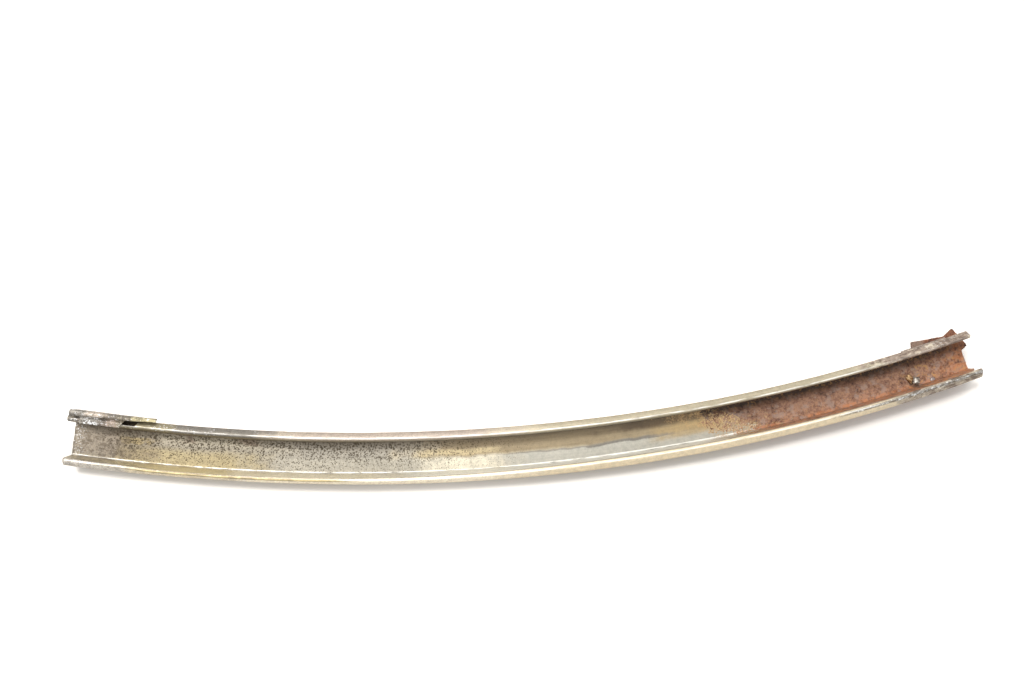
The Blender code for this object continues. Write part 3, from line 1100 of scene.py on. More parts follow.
class Value:
    """A number in a node tree, which plain arithmetic joins to other numbers."""

    def __init__(self, nodes: "Nodes", socket: Socket) -> None:
        """Hold a socket of a tree."""
        self.nodes, self.socket = nodes, socket

    def __add__(self, other: "Amount") -> "Value":
        """Add another number."""
        return self.nodes.math("ADD", self, other)

    def __sub__(self, other: "Amount") -> "Value":
        """Take another number away."""
        return self.nodes.math("SUBTRACT", self, other)

    def __rsub__(self, other: float) -> "Value":
        """Take this away from a plain number."""
        return self.nodes.math("SUBTRACT", other, self)

    def __mul__(self, other: "Amount") -> "Value":
        """Multiply by another number."""
        return self.nodes.math("MULTIPLY", self, other)

    def __truediv__(self, other: "Amount") -> "Value":
        """Divide by another number."""
        return self.nodes.math("DIVIDE", self, other)

    def __rtruediv__(self, other: float) -> "Value":
        """Divide a plain number by this."""
        return self.nodes.math("DIVIDE", other, self)

    def __abs__(self) -> "Value":
        """Drop the sign."""
        return self.nodes.math("ABSOLUTE", self)

    def most(self, other: "Amount") -> "Value":
        """Take the larger of two numbers."""
        return self.nodes.math("MAXIMUM", self, other)

    def length_with(self, other: "Value") -> "Value":
        """Length of the vector of two numbers."""
        return self.nodes.math("SQRT", self * self + other * other)

    def rise(self, low: float, high: float, first: float = 0.0, last: float = 1.0,
             ease: Ease = Ease.SMOOTH) -> "Value":
        """Go from one result to another between two values.

        Args:
            low: Where the way starts.
            high: Where it ends, which may be below low.
            first: Result at low and before it.
            last: Result at high and past it.
            ease: How it runs between them.

        Returns:
            The result.
        """
        inputs = dict(enumerate((self, low, high, first, last)))
        node = self.nodes.add("MapRange", inputs, interpolation_type=ease.value)
        return Value(self.nodes, node.outputs[0])

    def spread(self, first: float, last: float) -> "Value":
        """Stretch a noise, most of which lies from 0.3 to 0.7, from first to last."""
        return self.rise(0.3, 0.7, first, last)

    def even(self, first: float, last: float) -> "Value":
        """Go evenly from first at 0 to last at 1."""
        return self.rise(0.0, 1.0, first, last, Ease.EVEN)

    def between(self, low: float, high: float, soft: float) -> "Value":
        """Share inside low and high, each border being soft to both sides."""
        return self.rise(low - soft, low + soft) * self.rise(high + soft, high - soft)


Amount = Union[float, Value]


class Nodes:
    """Adds nodes to a tree and joins them."""

    def __init__(self, tree: bpy.types.NodeTree) -> None:
        """Hold a tree."""
        self.tree = tree

    def join(self, value: object, socket: Socket) -> None:
        """Link a value or a socket to an input, or set a constant there.

        Args:
            value: What goes in.
            socket: The input.
        """
        value = value.socket if isinstance(value, Value) else value
        if isinstance(value, Socket):
            self.tree.links.new(value, socket)
        else:
            socket.default_value = value

    def add(self, kind: str, inputs: dict[Union[int, str], object],
            **settings: object) -> bpy.types.Node:
        """Add a node.

        Args:
            kind: Its type, without the usual prefix.
            inputs: What is joined to its inputs, by number or name.
            settings: Its settings.

        Returns:
            The node.
        """
        node = self.tree.nodes.new("ShaderNode" + kind)
        for name, setting in settings.items():
            setattr(node, name, setting)
        for key, value in inputs.items():
            self.join(value, node.inputs[key])
        return node

    def read(self, node: bpy.types.Node, output: str) -> Value:
        """Output of a node as a number."""
        return Value(self, node.outputs[output])

    def math(self, operation: str, first: Amount, second: Amount = 0.0) -> Value:
        """Result of a Math node."""
        node = self.add("Math", {0: first, 1: second}, operation=operation)
        return Value(self, node.outputs[0])

    def blend(self, share: Amount, under: object, over: object, kind: str = "MIX") -> Socket:
        """Colour with a share of another colour over it."""
        inputs = {0: share, 6: under, 7: over}
        return self.add("Mix", inputs, data_type="RGBA", blend_type=kind).outputs[2]

    def layers(self, tone: object, *layers: tuple[Value, object]) -> Socket:
        """Colour under several others, each with its share.

        Args:
            tone: The lowest colour.
            layers: Share and colour of each layer, from below.

        Returns:
            The colour that is seen.
        """
        for share, over in layers:
            tone = self.blend(share, tone, over)
        return tone

    def vector(self, *parts: Amount) -> Socket:
        """Vector of three numbers."""
        return self.add("CombineXYZ", dict(enumerate(parts))).outputs[0]

    def shaded(self, tone: object, shade: Value) -> Socket:
        """Colour times a number."""
        return self.blend(1.0, tone, self.vector(shade, shade, shade), "MULTIPLY")


class Graph(Nodes):
    """One material's nodes, with the rail's coordinates.

    Attributes:
        material: The material.
        shader: Its Principled shader.
        place: The point in space, of which x is the first coordinate.
        station: Distance along the middle of the web.
        reach: Distance towards the centre of the bend.
        height: Distance from the web's back.
    """

    def __init__(self, name: str) -> None:
        """Start a material with its Principled shader and work out rail coordinates.

        Args:
            name: The material's name.
        """
        self.material = bpy.data.materials.new(name)
        self.material.use_nodes = True
        super().__init__(self.material.node_tree)
        self.shader = self.tree.nodes["Principled BSDF"]
        self.place = self.add("TexCoord", {}).outputs["Object"]
        parts = self.add("SeparateXYZ", {0: self.place})
        self.x, y, self.height = (self.read(parts, axis) for axis in "XYZ")
        arm = BEND.radius - y
        self.reach = BEND.radius - self.x.length_with(arm)
        self.station = self.math("ARCTAN2", self.x, arm) * BEND.radius

    def noise(self, cell: float, detail: float = 4.0, rough: float = 0.6,
              where: Optional[Socket] = None) -> Value:
        """Noise between about 0.2 and 0.8.

        Args:
            cell: About the size of its grains, in metres.
            detail: How many finer octaves it has.
            rough: How strong those are.
            where: Coordinates that it reads, if not the point in space.

        Returns:
            The noise.
        """
        inputs = {"Vector": where or self.place, "Scale": 1.0 / cell, "Detail": detail,
                  "Roughness": rough}
        return Value(self, self.add("TexNoise", inputs).outputs[0])

    def dots(self, cell: float) -> Value:
        """Distance from the nearest of scattered points, as a share of cell."""
        return self.read(self.add("TexVoronoi", {"Vector": self.place, "Scale": 1.0 / cell}),
                         "Distance")

    def along_rail(self, stretch: float) -> Socket:
        """Rail coordinates with the stations drawn together, for marks that run along it."""
        return self.vector(self.station * (1.0 / stretch), self.reach, self.height)

    def cover(self, tone: Tone, patches: Sequence["Patch"], station: Value,
              reach: Value) -> Socket:
        """Lay patches over a colour, one after the other.

        Args:
            tone: The colour below.
            patches: The patches.
            station: Stations, with the unevenness of the patches' borders.
            reach: Reaches, with theirs.

        Returns:
            The colour with the patches.
        """
        for patch in patches:
            along = station.between(*(end * MM for end in (*patch.stations, patch.soft)))
            across = reach.between(*(end * MM for end in (*patch.reaches, patch.fade)))
            tone = self.blend(along * across * patch.strength, tone, patch.tone)
        return tone

    def finish(self, tone: Socket, metallic: Amount, roughness: Amount, relief: Value,
               depth: float) -> bpy.types.Material:
        """Give the shader its inputs.

        Args:
            tone: Its colour.
            metallic: How metallic it is.
            roughness: Its roughness.
            relief: Heights from 0 to 1, which tilt its normal.
            depth: The relief's full height, in metres.

        Returns:
            The material.
        """
        bump = self.add("Bump", {"Strength": 1.0, "Distance": depth, "Height": relief})
        inputs = {"Base Color": tone, "Metallic": metallic, "Roughness": roughness,
                  "Normal": bump.outputs[0]}
        for name, value in inputs.items():
            self.join(value, self.shader.inputs[name])
        return self.material


class SheetGraph(Graph):
    """Graph that also knows where a point lies on the channel's sheet.

    Attributes:
        CROWN_CENTRE: Centre of a crown's arc: its share of the flare, its height, and how much
            of the flare it lies lower.
        TURN: Half the width of the border between a crown and what lies beside it.
        DEEP: Depth in the sheet where its front turns into its back.
        RAISED: Height where the web turns into a flange.
        UNDER: Height where the web's front turns into its back.
        concave: Share on the side of the bend's centre.
        past_crown: Distance past the top of the nearer crown, away from the channel.
        lip: Share on the upper face of a lip or crown.
        side: Share on the inner face of a flange.
        back: Share on the sheet's back.
        web: Share on the web's front.
        inside: Share on anything but lips and crowns.
    """

    CROWN_CENTRE = (0.82, 0.01294, 0.22)
    TURN = 0.00005
    DEEP = (0.00032, 0.00055)
    RAISED = (0.0011, 0.0016)
    UNDER = (0.0006, 0.0003)

    def __init__(self, name: str) -> None:
        """Work out the zones from rail coordinates and the channel's sizes.

        A flange's inner face leans out by its flare over its height, a lip falls from the crown
        by its drop, and the crown between them is an arc round a centre one outer fold radius
        inside both. The depth below the nearest of the three tells front from back.

        Args:
            name: The material's name.
        """
        super().__init__(name)
        channel = GuideChannel()
        station, height, foot = self.station, self.height, channel.sheet.thickness
        radius = channel.sheet.fold_radius + foot
        self.concave = self.reach.rise(-0.001, 0.001)
        convex = station.rise(*channel.flare_change, *channel.convex_flares)
        convex = convex - station.rise(*channel.bent_until, channel.bent_in, 0.0)
        flare = self.concave * channel.concave_flare + (1.0 - self.concave) * convex
        away = abs(self.reach) - channel.width / 2.0
        in_side = away - flare * height.rise(foot, channel.flange, ease=Ease.EVEN)
        worn = station.rise(*channel.worn_until, channel.worn_lip, 0.0) * (1.0 - self.concave)
        slope = channel.drop / (channel.overhang - worn - flare)
        below = channel.flange - (away - flare) * slope - height
        in_lip = below / self.math("SQRT", slope * slope + 1.0)
        centre_share, centre_height, centre_fall = self.CROWN_CENTRE
        self.past_crown = away - (flare * centre_share + radius)
        over = height - (centre_height - flare * centre_fall)
        in_crown = radius - self.past_crown.length_with(over)
        on_lip = (self.past_crown - over * slope).rise(-self.TURN, self.TURN)
        on_lip = on_lip * self.past_crown.rise(0.0, 4.0 * self.TURN)
        on_crown = over.rise(-self.TURN, self.TURN) * (1.0 - on_lip)
        depth = in_side + on_crown * (in_crown - in_side)
        depth = depth + on_lip * (in_lip - depth)
        deep = depth.rise(*self.DEEP)
        outer = on_lip.most(on_crown)
        raised = height.rise(*self.RAISED)
        self.lip = outer * (1.0 - deep)
        self.side = raised * (1.0 - deep) * (1.0 - outer)
        self.back = deep.most(height.rise(*self.UNDER))
        self.web = 1.0 - raised.most(self.back)
        self.inside = 1.0 - self.lip

    def shading(self, mottle: Value) -> Value:
        """Mottles, streaks along the rail, and a grain that is coarsest on the left part.

        Args:
            mottle: The noise of the mottles.

        Returns:
            What the colour is multiplied by.
        """
        streak = self.noise(0.0009, 3.0, 0.5, self.along_rail(16.0))
        grain = self.noise(0.0006, 2.0, 0.5).rise(0.34, 0.66, -0.13, 0.11)
        shade = mottle.spread(0.88, 1.08) + streak.spread(-0.06, 0.04)
        return shade + grain * self.station.rise(0.010, -0.070, 0.3, 1.0)

    def clouds(self) -> Value:
        """Share of the soot in clouds at the left end and, thinner, on the lips' left part.

        Returns:
            The share.
        """
        left = self.station.rise(-0.184, -0.200, 0.0, 0.72)
        ends = left * self.lip.even(1.0, 0.15)
        ends = ends + self.lip * self.station.rise(-0.132, -0.150, 0.0, 0.22)
        return self.noise(0.0026, 6.0, 0.78).rise(0.46, 0.58) * ends

    def folds(self) -> Value:
        """Share of the lines of painted highlight along the folds, broken by a fine noise.

        Returns:
            The share.
        """
        station, reach = self.station, self.reach
        highlight_breaks = self.noise(0.0010, 3.0, 0.6, self.along_rail(10.0)).rise(0.36, 0.52)
        wide = reach - station.rise(-0.030, 0.020, 0.0, 0.0004)
        inner = reach.rise(-0.00800, -0.00770) * wide.rise(-0.00690, -0.00712)
        above = self.height - station.rise(-0.01, 0.03, 0.0022, 0.0046)
        inner = inner * above.rise(0.0003, -0.0003) * station.rise(0.128, 0.108)
        inner = inner * station.rise(-0.222, -0.190, 0.45, 1.0)
        crown = self.past_crown.between(-0.00038, 0.00026, 0.00014) * self.lip
        crown = crown * station.rise(0.176, 0.156, 0.15, 1.0)
        crown = crown * station.rise(-0.150, -0.110, 0.35, 1.0) * station.rise(-0.2205, -0.2190)
        return inner.most(crown) * highlight_breaks * 0.9

    def pores(self) -> Value:
        """Share of the pits: small dots that grow and crowd towards the left and upper part.

        Returns:
            The share.
        """
        along = self.station.rise(-0.226, -0.196) * self.station.rise(0.006, -0.070)
        size = along * (self.reach.rise(-0.0075, 0.0045) * 0.65 + 0.35)
        crowd = self.noise(0.005).rise(0.34, 0.66, -0.16, 0.07)
        coarse = (size * 0.35 + crowd - self.dots(0.00130)).rise(-0.04, 0.06)
        fine = (size * 0.22 + 0.17 - self.dots(0.00085)).rise(-0.06, 0.06)
        return coarse.most(fine * 0.78) * size.rise(0.0, 0.12) * self.web

    def bloom(self) -> Value:
        """Share of white zinc bloom: grains in clusters on the lips, thick at the left end.

        Returns:
            The share.
        """
        grain = self.noise(0.0009, 4.0, 0.7)
        cluster = self.noise(0.010, 3.0, 0.55).rise(0.44, 0.60)
        left = self.station.rise(-0.105, -0.135) * (self.lip * 0.9 + 0.1)
        right = self.station.rise(0.170, 0.185) * 0.5
        end = self.station.rise(-0.2185, -0.2230)
        amount = (cluster * left.most(right)).most(end * 0.7)
        low = grain.rise(0.52, 0.62) * end * 0.6 * self.inside
        return (grain.rise(0.55, 0.64) * amount).most(low)

    def rust_border(self) -> Value:
        """Distance along the rail, with the slanting, eaten border of the rust taken out.

        Returns:
            The distance, which is even along the border.
        """
        slant = self.reach * 1.7
        eaten = (self.noise(0.010, 6.0, 0.75) - 0.5) * 0.075
        fine = (self.noise(0.0009, 2.0, 0.5) - 0.5) * 0.050
        return self.station + slant + (eaten + fine)


@dataclass(frozen=True)
class Patch:
    """A stretch of a sheet with its own tone, in millimetres of rail coordinates.

    Attributes:
        tone: Its colour.
        stations: Where it starts and ends along the rail.
        reaches: Where it starts and ends across the rail.
        soft: Half the length of its fade along the rail.
        fade: Half the length of its fade across the rail.
        strength: How much of it shows.
    """

    tone: Tone
    stations: Pair
    reaches: Pair
    soft: float = 12.0
    fade: float = 1.6
    strength: float = 1.0


@dataclass(frozen=True)
class PlatedSteel:
    """Yellow-chromated zinc on sheet steel: stained, pitted, and rusted through to one side.

    Attributes:
        web: Stains on the web, by where they lie, and painted shade across it near the left end.
        flange: Tones of the flanges' inner faces, and painted shade on the concave one.
        lips: Tones of the lips.
        wander: How far the borders of the stains wander along and across the rail.
        fringe_start: Where the golden fringe begins past the rust's border.
        rust_start: Where the rust does.
        chips_start: Where the chips of plating in the rust do, and chips_end where they end.
    """

    name: str = "worn_yellow_zinc"
    base: Tone = colour(222, 210, 184)
    outside: Tone = colour(190, 172, 128)
    # Tone of the pits, and of the painted shade in the concave corner.
    dirt_and_shade: Tone = colour(84, 74, 58)
    grime: Tone = colour(118, 106, 86)
    soot: Tone = colour(92, 80, 66)
    pewter: Tone = colour(148, 144, 138)
    white: Tone = colour(248, 248, 246)
    # Tone of the painted highlights along the folds.
    painted_highlight: Tone = colour(255, 252, 243)
    fringe: Tone = colour(196, 162, 112)
    chip: Tone = colour(216, 188, 142)
    scab: Tone = colour(112, 94, 82)
    chalk: Tone = colour(226, 214, 192)
    # Tone of the painted shade under the concave lip and round the rivet.
    shade: Tone = colour(58, 54, 48)
    rust_tones: tuple[Tone, ...] = (
        colour(88, 66, 56), colour(138, 104, 85), colour(168, 130, 106), colour(168, 148, 136))
    orange: Tone = colour(200, 128, 76)
    ochre: Tone = colour(190, 146, 90)
    scorch: Tone = colour(96, 64, 48)
    metallic: float = 0.55
    roughness: Pair = (0.33, 0.50)
    rust_roughness: float = 0.86
    relief: float = 0.00022
    wander: Pair = (0.060, 0.0040)
    fringe_start: Pair = (0.074, 0.092)
    rust_start: Pair = (0.084, 0.098)
    chips_start: Pair = (0.084, 0.094)
    chips_end: Pair = (0.128, 0.104)
    web: tuple[Patch, ...] = (
        Patch(colour(148, 139, 122), (-240, -120), (-9, 9), soft=20),
        Patch(colour(170, 155, 120), (-206, -134), (-9, 0.0), soft=14, fade=2.2),
        Patch(colour(156, 149, 136), (-132, -62), (-9, 9), soft=18),
        Patch(colour(170, 163, 148), (-128, 140), (-9, -0.8), soft=14, fade=1.0),
        Patch(colour(222, 213, 191), (-58, -22), (-9, 0.8), soft=18),
        Patch(colour(184, 180, 168), (-22, 130), (-9, -1.0), soft=14, fade=0.5),
        Patch(colour(154, 138, 110), (-62, 140), (-0.8, 9), soft=16, fade=1.2),
        Patch(colour(176, 152, 110), (58, 140), (-3.6, 9), soft=10, strength=0.8),
        Patch(colour(206, 188, 148), (-60, -24), (0.2, 3.0), soft=10, fade=0.8, strength=0.7),
        Patch(colour(176, 166, 146), (-206, -128), (3.0, 9), soft=14, strength=0.9),
        Patch(colour(136, 127, 114), (-134, -56), (3.6, 9), soft=16, strength=0.75),
        Patch(colour(130, 115, 90), (-50, 54), (3.6, 9), soft=16, strength=0.8),
        Patch(colour(84, 68, 54), (36, 120), (3.4, 9), soft=16, strength=0.75),
        Patch(colour(100, 68, 52), (-178, -168), (3.8, 9), soft=3, fade=1.0, strength=0.5),
        Patch(colour(104, 72, 56), (-150, -137), (4.4, 9), soft=3, fade=1.0, strength=0.5),
        Patch(colour(128, 122, 114), (-22, 64), (-1.6, -0.9), soft=10, fade=0.3, strength=0.6),
        Patch(colour(114, 110, 104), (28, 60), (-1.6, -0.2), soft=8, fade=0.4, strength=0.7),
        # Painted shade across the web near the left end, beside the bracket.
        Patch(colour(112, 98, 80), (-214, -190), (-5.5, 9), soft=8, fade=2.5, strength=0.6),
        Patch(colour(182, 158, 96), (-202, -193), (0.8, 4.0), soft=2, fade=0.5, strength=0.4),
        Patch(colour(142, 130, 114), (-240, -206), (-6.5, 9), soft=6, fade=2.0, strength=0.8))
    flange: tuple[Patch, ...] = (
        Patch(colour(186, 168, 132), (-240, -204), (-10, 10), soft=8),
        Patch(colour(222, 204, 156), (-204, -146), (-10, 10), soft=10),
        Patch(colour(244, 232, 202), (-146, -74), (-10, 10), soft=14),
        Patch(colour(253, 248, 234), (-74, 86), (-10, 10), soft=14),
        Patch(colour(206, 194, 168), (86, 240), (-10, 10)),
        # Painted shade on the inner face of the concave flange, all along the rail.
        Patch(colour(120, 110, 90), (-240, 240), (6, 10), fade=0.3, strength=0.7))
    lips: tuple[Patch, ...] = (
        Patch(colour(132, 126, 117), (-240, -130), (8.4, 14), fade=0.3),
        Patch(colour(150, 138, 104), (-202, -180), (8.4, 14), soft=5, fade=0.3, strength=0.7),
        Patch(colour(104, 98, 90), (-240, -219.5), (7.6, 14), soft=1, fade=0.3),
        Patch(colour(186, 171, 157), (-130, -20), (8.4, 14), soft=20, fade=0.3),
        Patch(colour(184, 173, 148), (-10, 172), (8.4, 14), soft=25, fade=0.3),
        Patch(colour(172, 154, 138), (168, 240), (8.4, 14), soft=4, fade=0.3),
        Patch(colour(216, 208, 196), (-240, -190), (-14, -8.2), soft=10, fade=0.3),
        Patch(colour(238, 222, 192), (-190, -150), (-14, -8.2), soft=10, fade=0.3),
        Patch(colour(254, 240, 214), (-150, -10), (-14, -8.2), soft=22, fade=0.3),
        Patch(colour(240, 222, 188), (-10, 182), (-14, -8.2), soft=25, fade=0.3),
        Patch(colour(176, 162, 144), (182, 240), (-14, -8.2), soft=5, fade=0.3))

    def stains(self, graph: SheetGraph) -> Socket:
        """Colour of the plating on web, flanges, lips and the sheet's back, with painted shade in
        some of the patches.

        Args:
            graph: The material's graph.

        Returns:
            The colour.
        """
        wander = graph.noise(0.016, 5.0) - 0.5
        along, across = self.wander
        station = graph.station + wander * along
        web = graph.cover(self.base, self.web, station, graph.reach + wander * across)
        flange = graph.cover(self.base, self.flange, station, graph.reach)
        lips = graph.cover(self.base, self.lips, station, graph.reach)
        smears = graph.noise(0.009, 5.0, 0.65).rise(0.42, 0.62) * 0.6
        back = graph.blend(smears, self.outside, self.grime)
        return graph.layers(web, (graph.side, flange), (graph.lip, lips), (graph.back, back))

    def lip_dirt(self, graph: SheetGraph, tone: Socket) -> Socket:
        """Scabs and chalk on the lips near both ends, and a mottled crest on the convex one.

        Args:
            graph: The material's graph.
            tone: The colour below.

        Returns:
            The colour with them.
        """
        station, reach = graph.station, graph.reach
        start = graph.concave.even(0.180, 0.166)
        dirty = (station - start).rise(-0.004, 0.006).most(station.rise(-0.2140, -0.2185))
        dirty = dirty * graph.lip
        patchy = graph.noise(0.0024, 5.0, 0.70, graph.along_rail(2.2))
        scabs = dirty * patchy.rise(0.51, 0.57) * station.rise(-0.15, 0.10, 0.30, 0.80)
        chalk = dirty * patchy.rise(0.46, 0.40) * 0.80
        crest = graph.past_crown.rise(-0.0007, -0.0004) * graph.past_crown.rise(0.0012, 0.0007)
        crest = crest * station.rise(0.140, 0.158) * reach.rise(0.0, -0.001) * graph.lip
        specks = graph.noise(0.0010, 4.0, 0.7, graph.along_rail(2.0))
        line = graph.layers(self.soot, (specks.rise(0.44, 0.52), self.pewter),
                            (specks.rise(0.56, 0.62), self.white))
        return graph.layers(tone, (scabs, self.scab), (chalk, self.chalk), (crest * 0.85, line))

    def rust(self, graph: SheetGraph) -> Socket:
        """Rust's colour: dark, mid and light tones mottled at two sizes, and what lies on them.

        Pale patches, ochre specks, scorched and ochre spots near the right end, and orange at
        the end and along the convex fold. On its front, painted light makes it lighter towards the
        convex side and darker towards the concave one, and painted shade darkens it under the
        concave lip and round the rivet.

        Args:
            graph: The material's graph.

        Returns:
            The colour.
        """
        station, reach = graph.station, graph.reach
        level = graph.noise(0.0055, 5.0, 0.62) * 0.52 + graph.noise(0.0012, 4.0, 0.65) * 0.48
        spots = graph.noise(0.0024, 4.0, 0.65)
        late = station.rise(0.178, 0.206)
        hot = station.rise(0.200, 0.226).most(reach.rise(-0.0054, -0.0068) * 0.9)
        dark, mid, light, pale = self.rust_tones
        tone = graph.layers(
            dark, (level.rise(0.37, 0.46), mid), (level.rise(0.47, 0.56), light),
            (graph.noise(0.0042).rise(0.50, 0.62) * 0.55, pale),
            (graph.dots(0.0013).rise(0.30, 0.16) * 0.35, self.ochre),
            (spots.rise(0.46, 0.38) * late * 0.55, self.scorch),
            (spots.rise(0.55, 0.63) * late * 0.60, self.ochre),
            (hot * graph.noise(0.0030).rise(0.40, 0.58) * 0.48, self.orange))
        front = 1.0 - graph.back
        # Painted light: lighter towards the convex side, darker towards the concave one.
        tone = graph.shaded(tone, reach.rise(-0.0065, 0.0045, 0.38, -0.20) * front + 1.04)
        # Painted shade under the concave lip, with ochre flakes in it.
        under = (reach + graph.noise(0.0030) * 0.004).rise(0.0062, 0.0085)
        under = under * station.rise(0.223, 0.212) * front
        wall = graph.side.even(0.8, 0.5)
        flakes = graph.noise(0.0013, 3.0).rise(0.54, 0.62) * under
        flakes = flakes * graph.height.rise(0.0050, 0.0030) * 0.5
        # Painted shade round the rivet.
        rivet, aside = SplitRivet(GuideChannel()), 0.0008
        away = (station - (rivet.station + aside)).length_with(reach - (rivet.reach - aside))
        return graph.layers(tone, (under * wall, self.shade), (flakes, self.ochre),
                            (away.rise(0.0036, 0.0022, 0.0, 0.65), self.shade))

    def build(self) -> bpy.types.Material:
        """Build the finish.

        Returns:
            The material.
        """
        graph = SheetGraph(self.name)
        mottle, pores = graph.noise(0.0022, 5.0, 0.65), graph.pores()
        tone = graph.shaded(self.stains(graph), graph.shading(mottle))
        # Painted shade in the concave corner, where the web meets the flange.
        corner = graph.reach.rise(0.0052, 0.0072) * graph.height.rise(0.0030, 0.0010) * 0.5
        tone = self.lip_dirt(graph, graph.blend(corner, tone, self.dirt_and_shade))
        # Over the colour: soot, pits, painted highlights along the folds, and zinc bloom.
        tone = graph.layers(tone, (graph.clouds(), self.soot), (pores * 0.82, self.dirt_and_shade),
                            (graph.folds(), self.painted_highlight), (graph.bloom() * 0.8, self.white))
        border = graph.rust_border()
        fringe = graph.noise(0.0028, 4.0, 0.65).rise(0.40, 0.54, 0.25, 0.85)
        fringe = border.rise(*self.fringe_start) * graph.inside * fringe
        rusted = border.rise(*self.rust_start) * graph.inside
        chips = border.rise(*self.chips_start) * border.rise(*self.chips_end) * graph.inside
        chips = chips * graph.noise(0.0013, 4.0, 0.65).rise(0.54, 0.62)
        chips = chips * graph.reach.rise(0.0030, -0.0030) * 0.75
        tone = graph.layers(tone, (fringe, self.fringe), (rusted, self.rust(graph)),
                            (chips, self.chip))
        metallic = rusted.rise(0.2, 0.9, self.metallic, 0.0, Ease.EVEN)
        metallic = metallic * graph.side.even(1.0, 0.2)
        rough = mottle.spread(*self.roughness) + pores * 0.25
        relief = graph.noise(0.0007, 3.0) * rusted.even(0.12, 1.0)
        return graph.finish(tone, metallic, rough.most(rusted * self.rust_roughness),
                            relief - pores * 0.35, self.relief)


@dataclass(frozen=True)
class GreyZinc:
    """Dull grey zinc with white bloom and brown dirt, on the small pressed pieces.

    Attributes:
        name: The material's name.
        base: Its grey.
        bloom: How much of the bloom shows.
        dirty: How much of the dirt shows.
        stains: Its patches.
        dirt_and_shade: The dirt's tone.
        white: The bloom's tone.
        relief: Height of its grain.
    """

    name: str = "grey_zinc"
    base: Tone = colour(158, 151, 140)
    bloom: float = 0.8
    dirty: float = 0.7
    stains: tuple[Patch, ...] = (
        Patch(colour(196, 180, 162), (-218.0, -208.0), (11.6, 20.0), 1.2, 0.3, 0.85),
        Patch(colour(134, 128, 120), (-220.0, -211.0), (0.0, 11.8), 1.2, 0.3, 0.6),
        Patch(colour(104, 93, 82), (-211.5, -207.5), (0.0, 11.8), 1.2, 0.3, 0.9),
        Patch(colour(110, 99, 86), (-210.0, -203.0), (11.2, 20.0), 1.2, 0.3, 0.7),
        Patch(colour(172, 150, 132), (-208.0, -202.0), (0.0, 11.8), 1.2, 0.3, 0.7),
        Patch(colour(128, 116, 94), (-203.0, -197.0), (0.0, 20.0), 1.2, 0.3, 0.7),
        Patch(colour(190, 178, 136), (-197.0, -170.0), (0.0, 20.0), 1.2, 0.3, 0.9))
    dirt_and_shade: Tone = colour(74, 67, 58)
    white: Tone = colour(244, 245, 246)
    metallic: float = 0.5
    roughness: Pair = (0.42, 0.60)
    relief: float = 0.00014

    def build(self) -> bpy.types.Material:
        """Build the finish.

        Returns:
            The material.
        """
        graph = Graph(self.name)
        coarse, fine = graph.noise(0.0026, 5.0, 0.7), graph.noise(0.0009, 4.0, 0.7)
        station = graph.station + (graph.noise(0.004) - 0.5) * 0.010
        tone = graph.cover(self.base, self.stains, station, graph.reach)
        tone = graph.shaded(tone, fine.spread(0.74, 1.16))
        thick = station.between(-0.21875, -0.21125, 0.00075) * graph.reach.rise(0.0120, 0.0116)
        white = fine.rise(0.55, 0.63) * coarse.rise(0.62, 0.44)
        white = white.most(thick * fine.rise(0.51, 0.58)) * self.bloom
        tone = graph.layers(tone, (coarse.rise(0.47, 0.60) * self.dirty, self.dirt_and_shade),
                            (white, self.white))
        return graph.finish(tone, self.metallic, fine.spread(*self.roughness),
                            graph.noise(0.0006), self.relief)


@dataclass(frozen=True)
class RustedSteel:
    """Brown rust over bare steel, with a pale film on a part of the rail."""

    name: str = "brown_rust"
    dark: Tone = colour(74, 54, 48)
    mid: Tone = colour(142, 96, 74)
    light: Tone = colour(180, 128, 96)
    film: Tone = colour(170, 150, 134)
    film_share: float = 0.7
    roughness: Pair = (0.75, 0.92)
    relief: float = 0.00030

    def build(self) -> bpy.types.Material:
        """Build the finish.

        Returns:
            The material.
        """
        graph = Graph(self.name)
        level = graph.noise(0.0050) * 0.5 + graph.noise(0.0010, 4.0, 0.65) * 0.5
        film = graph.station.between(0.1930, 0.2075, 0.0015) * level.rise(0.40, 0.48)
        tone = graph.layers(self.dark, (level.rise(0.40, 0.50), self.mid),
                            (level.rise(0.50, 0.62), self.light),
                            (film * self.film_share, self.film))
        return graph.finish(tone, 0.0, level.rise(0.4, 0.6, *self.roughness),
                            graph.noise(0.0007, 5.0, 0.65), self.relief)


@dataclass(frozen=True)
class WornRivet:
    """Plated rivet metal, lighter in worn patches, and darkened by painted shade towards the web.
    """

    name: str
    base: Tone
    worn: Tone
    # Tone of the painted shade low down, towards the web.
    dirt_and_shade: Tone = colour(70, 50, 40)
    metallic: float = 0.5
    roughness: Pair = (0.38, 0.52)
    relief: float = 0.00006

    def build(self) -> bpy.types.Material:
        """Build the finish.

        Returns:
            The material.
        """
        graph = Graph(self.name)
        level = graph.noise(0.0012)
        # Painted shade: darker low down, where the metal meets the web.
        low = graph.height + level * 0.0012
        tone = graph.layers(self.base, (level.rise(0.42, 0.60), self.worn),
                            (low.rise(0.0022, 0.0012), self.dirt_and_shade))
        return graph.finish(tone, self.metallic, level.spread(*self.roughness),
                            graph.noise(0.0005, 3.0, 0.5), self.relief)


PALE_ZINC = GreyZinc("pale_zinc", colour(170, 152, 138), bloom=0.5, dirty=0.5, stains=())
# Finish of the dark block of painted shade under the notch.
SHADE_BLOCK_FINISH = RustedSteel("shade_block_dark", colour(62, 54, 44), colour(84, 74, 60),
                           colour(104, 92, 76), film_share=0.0)
GOLD_RIVET = WornRivet("gold_rivet", colour(150, 112, 74), colour(214, 182, 136))
SILVER_RIVET = WornRivet("silver_rivet", colour(138, 130, 120), colour(212, 206, 196))
LILAC_GREY = WornRivet("lilac_grey", colour(172, 162, 160), colour(206, 198, 198),
                       colour(150, 132, 124))


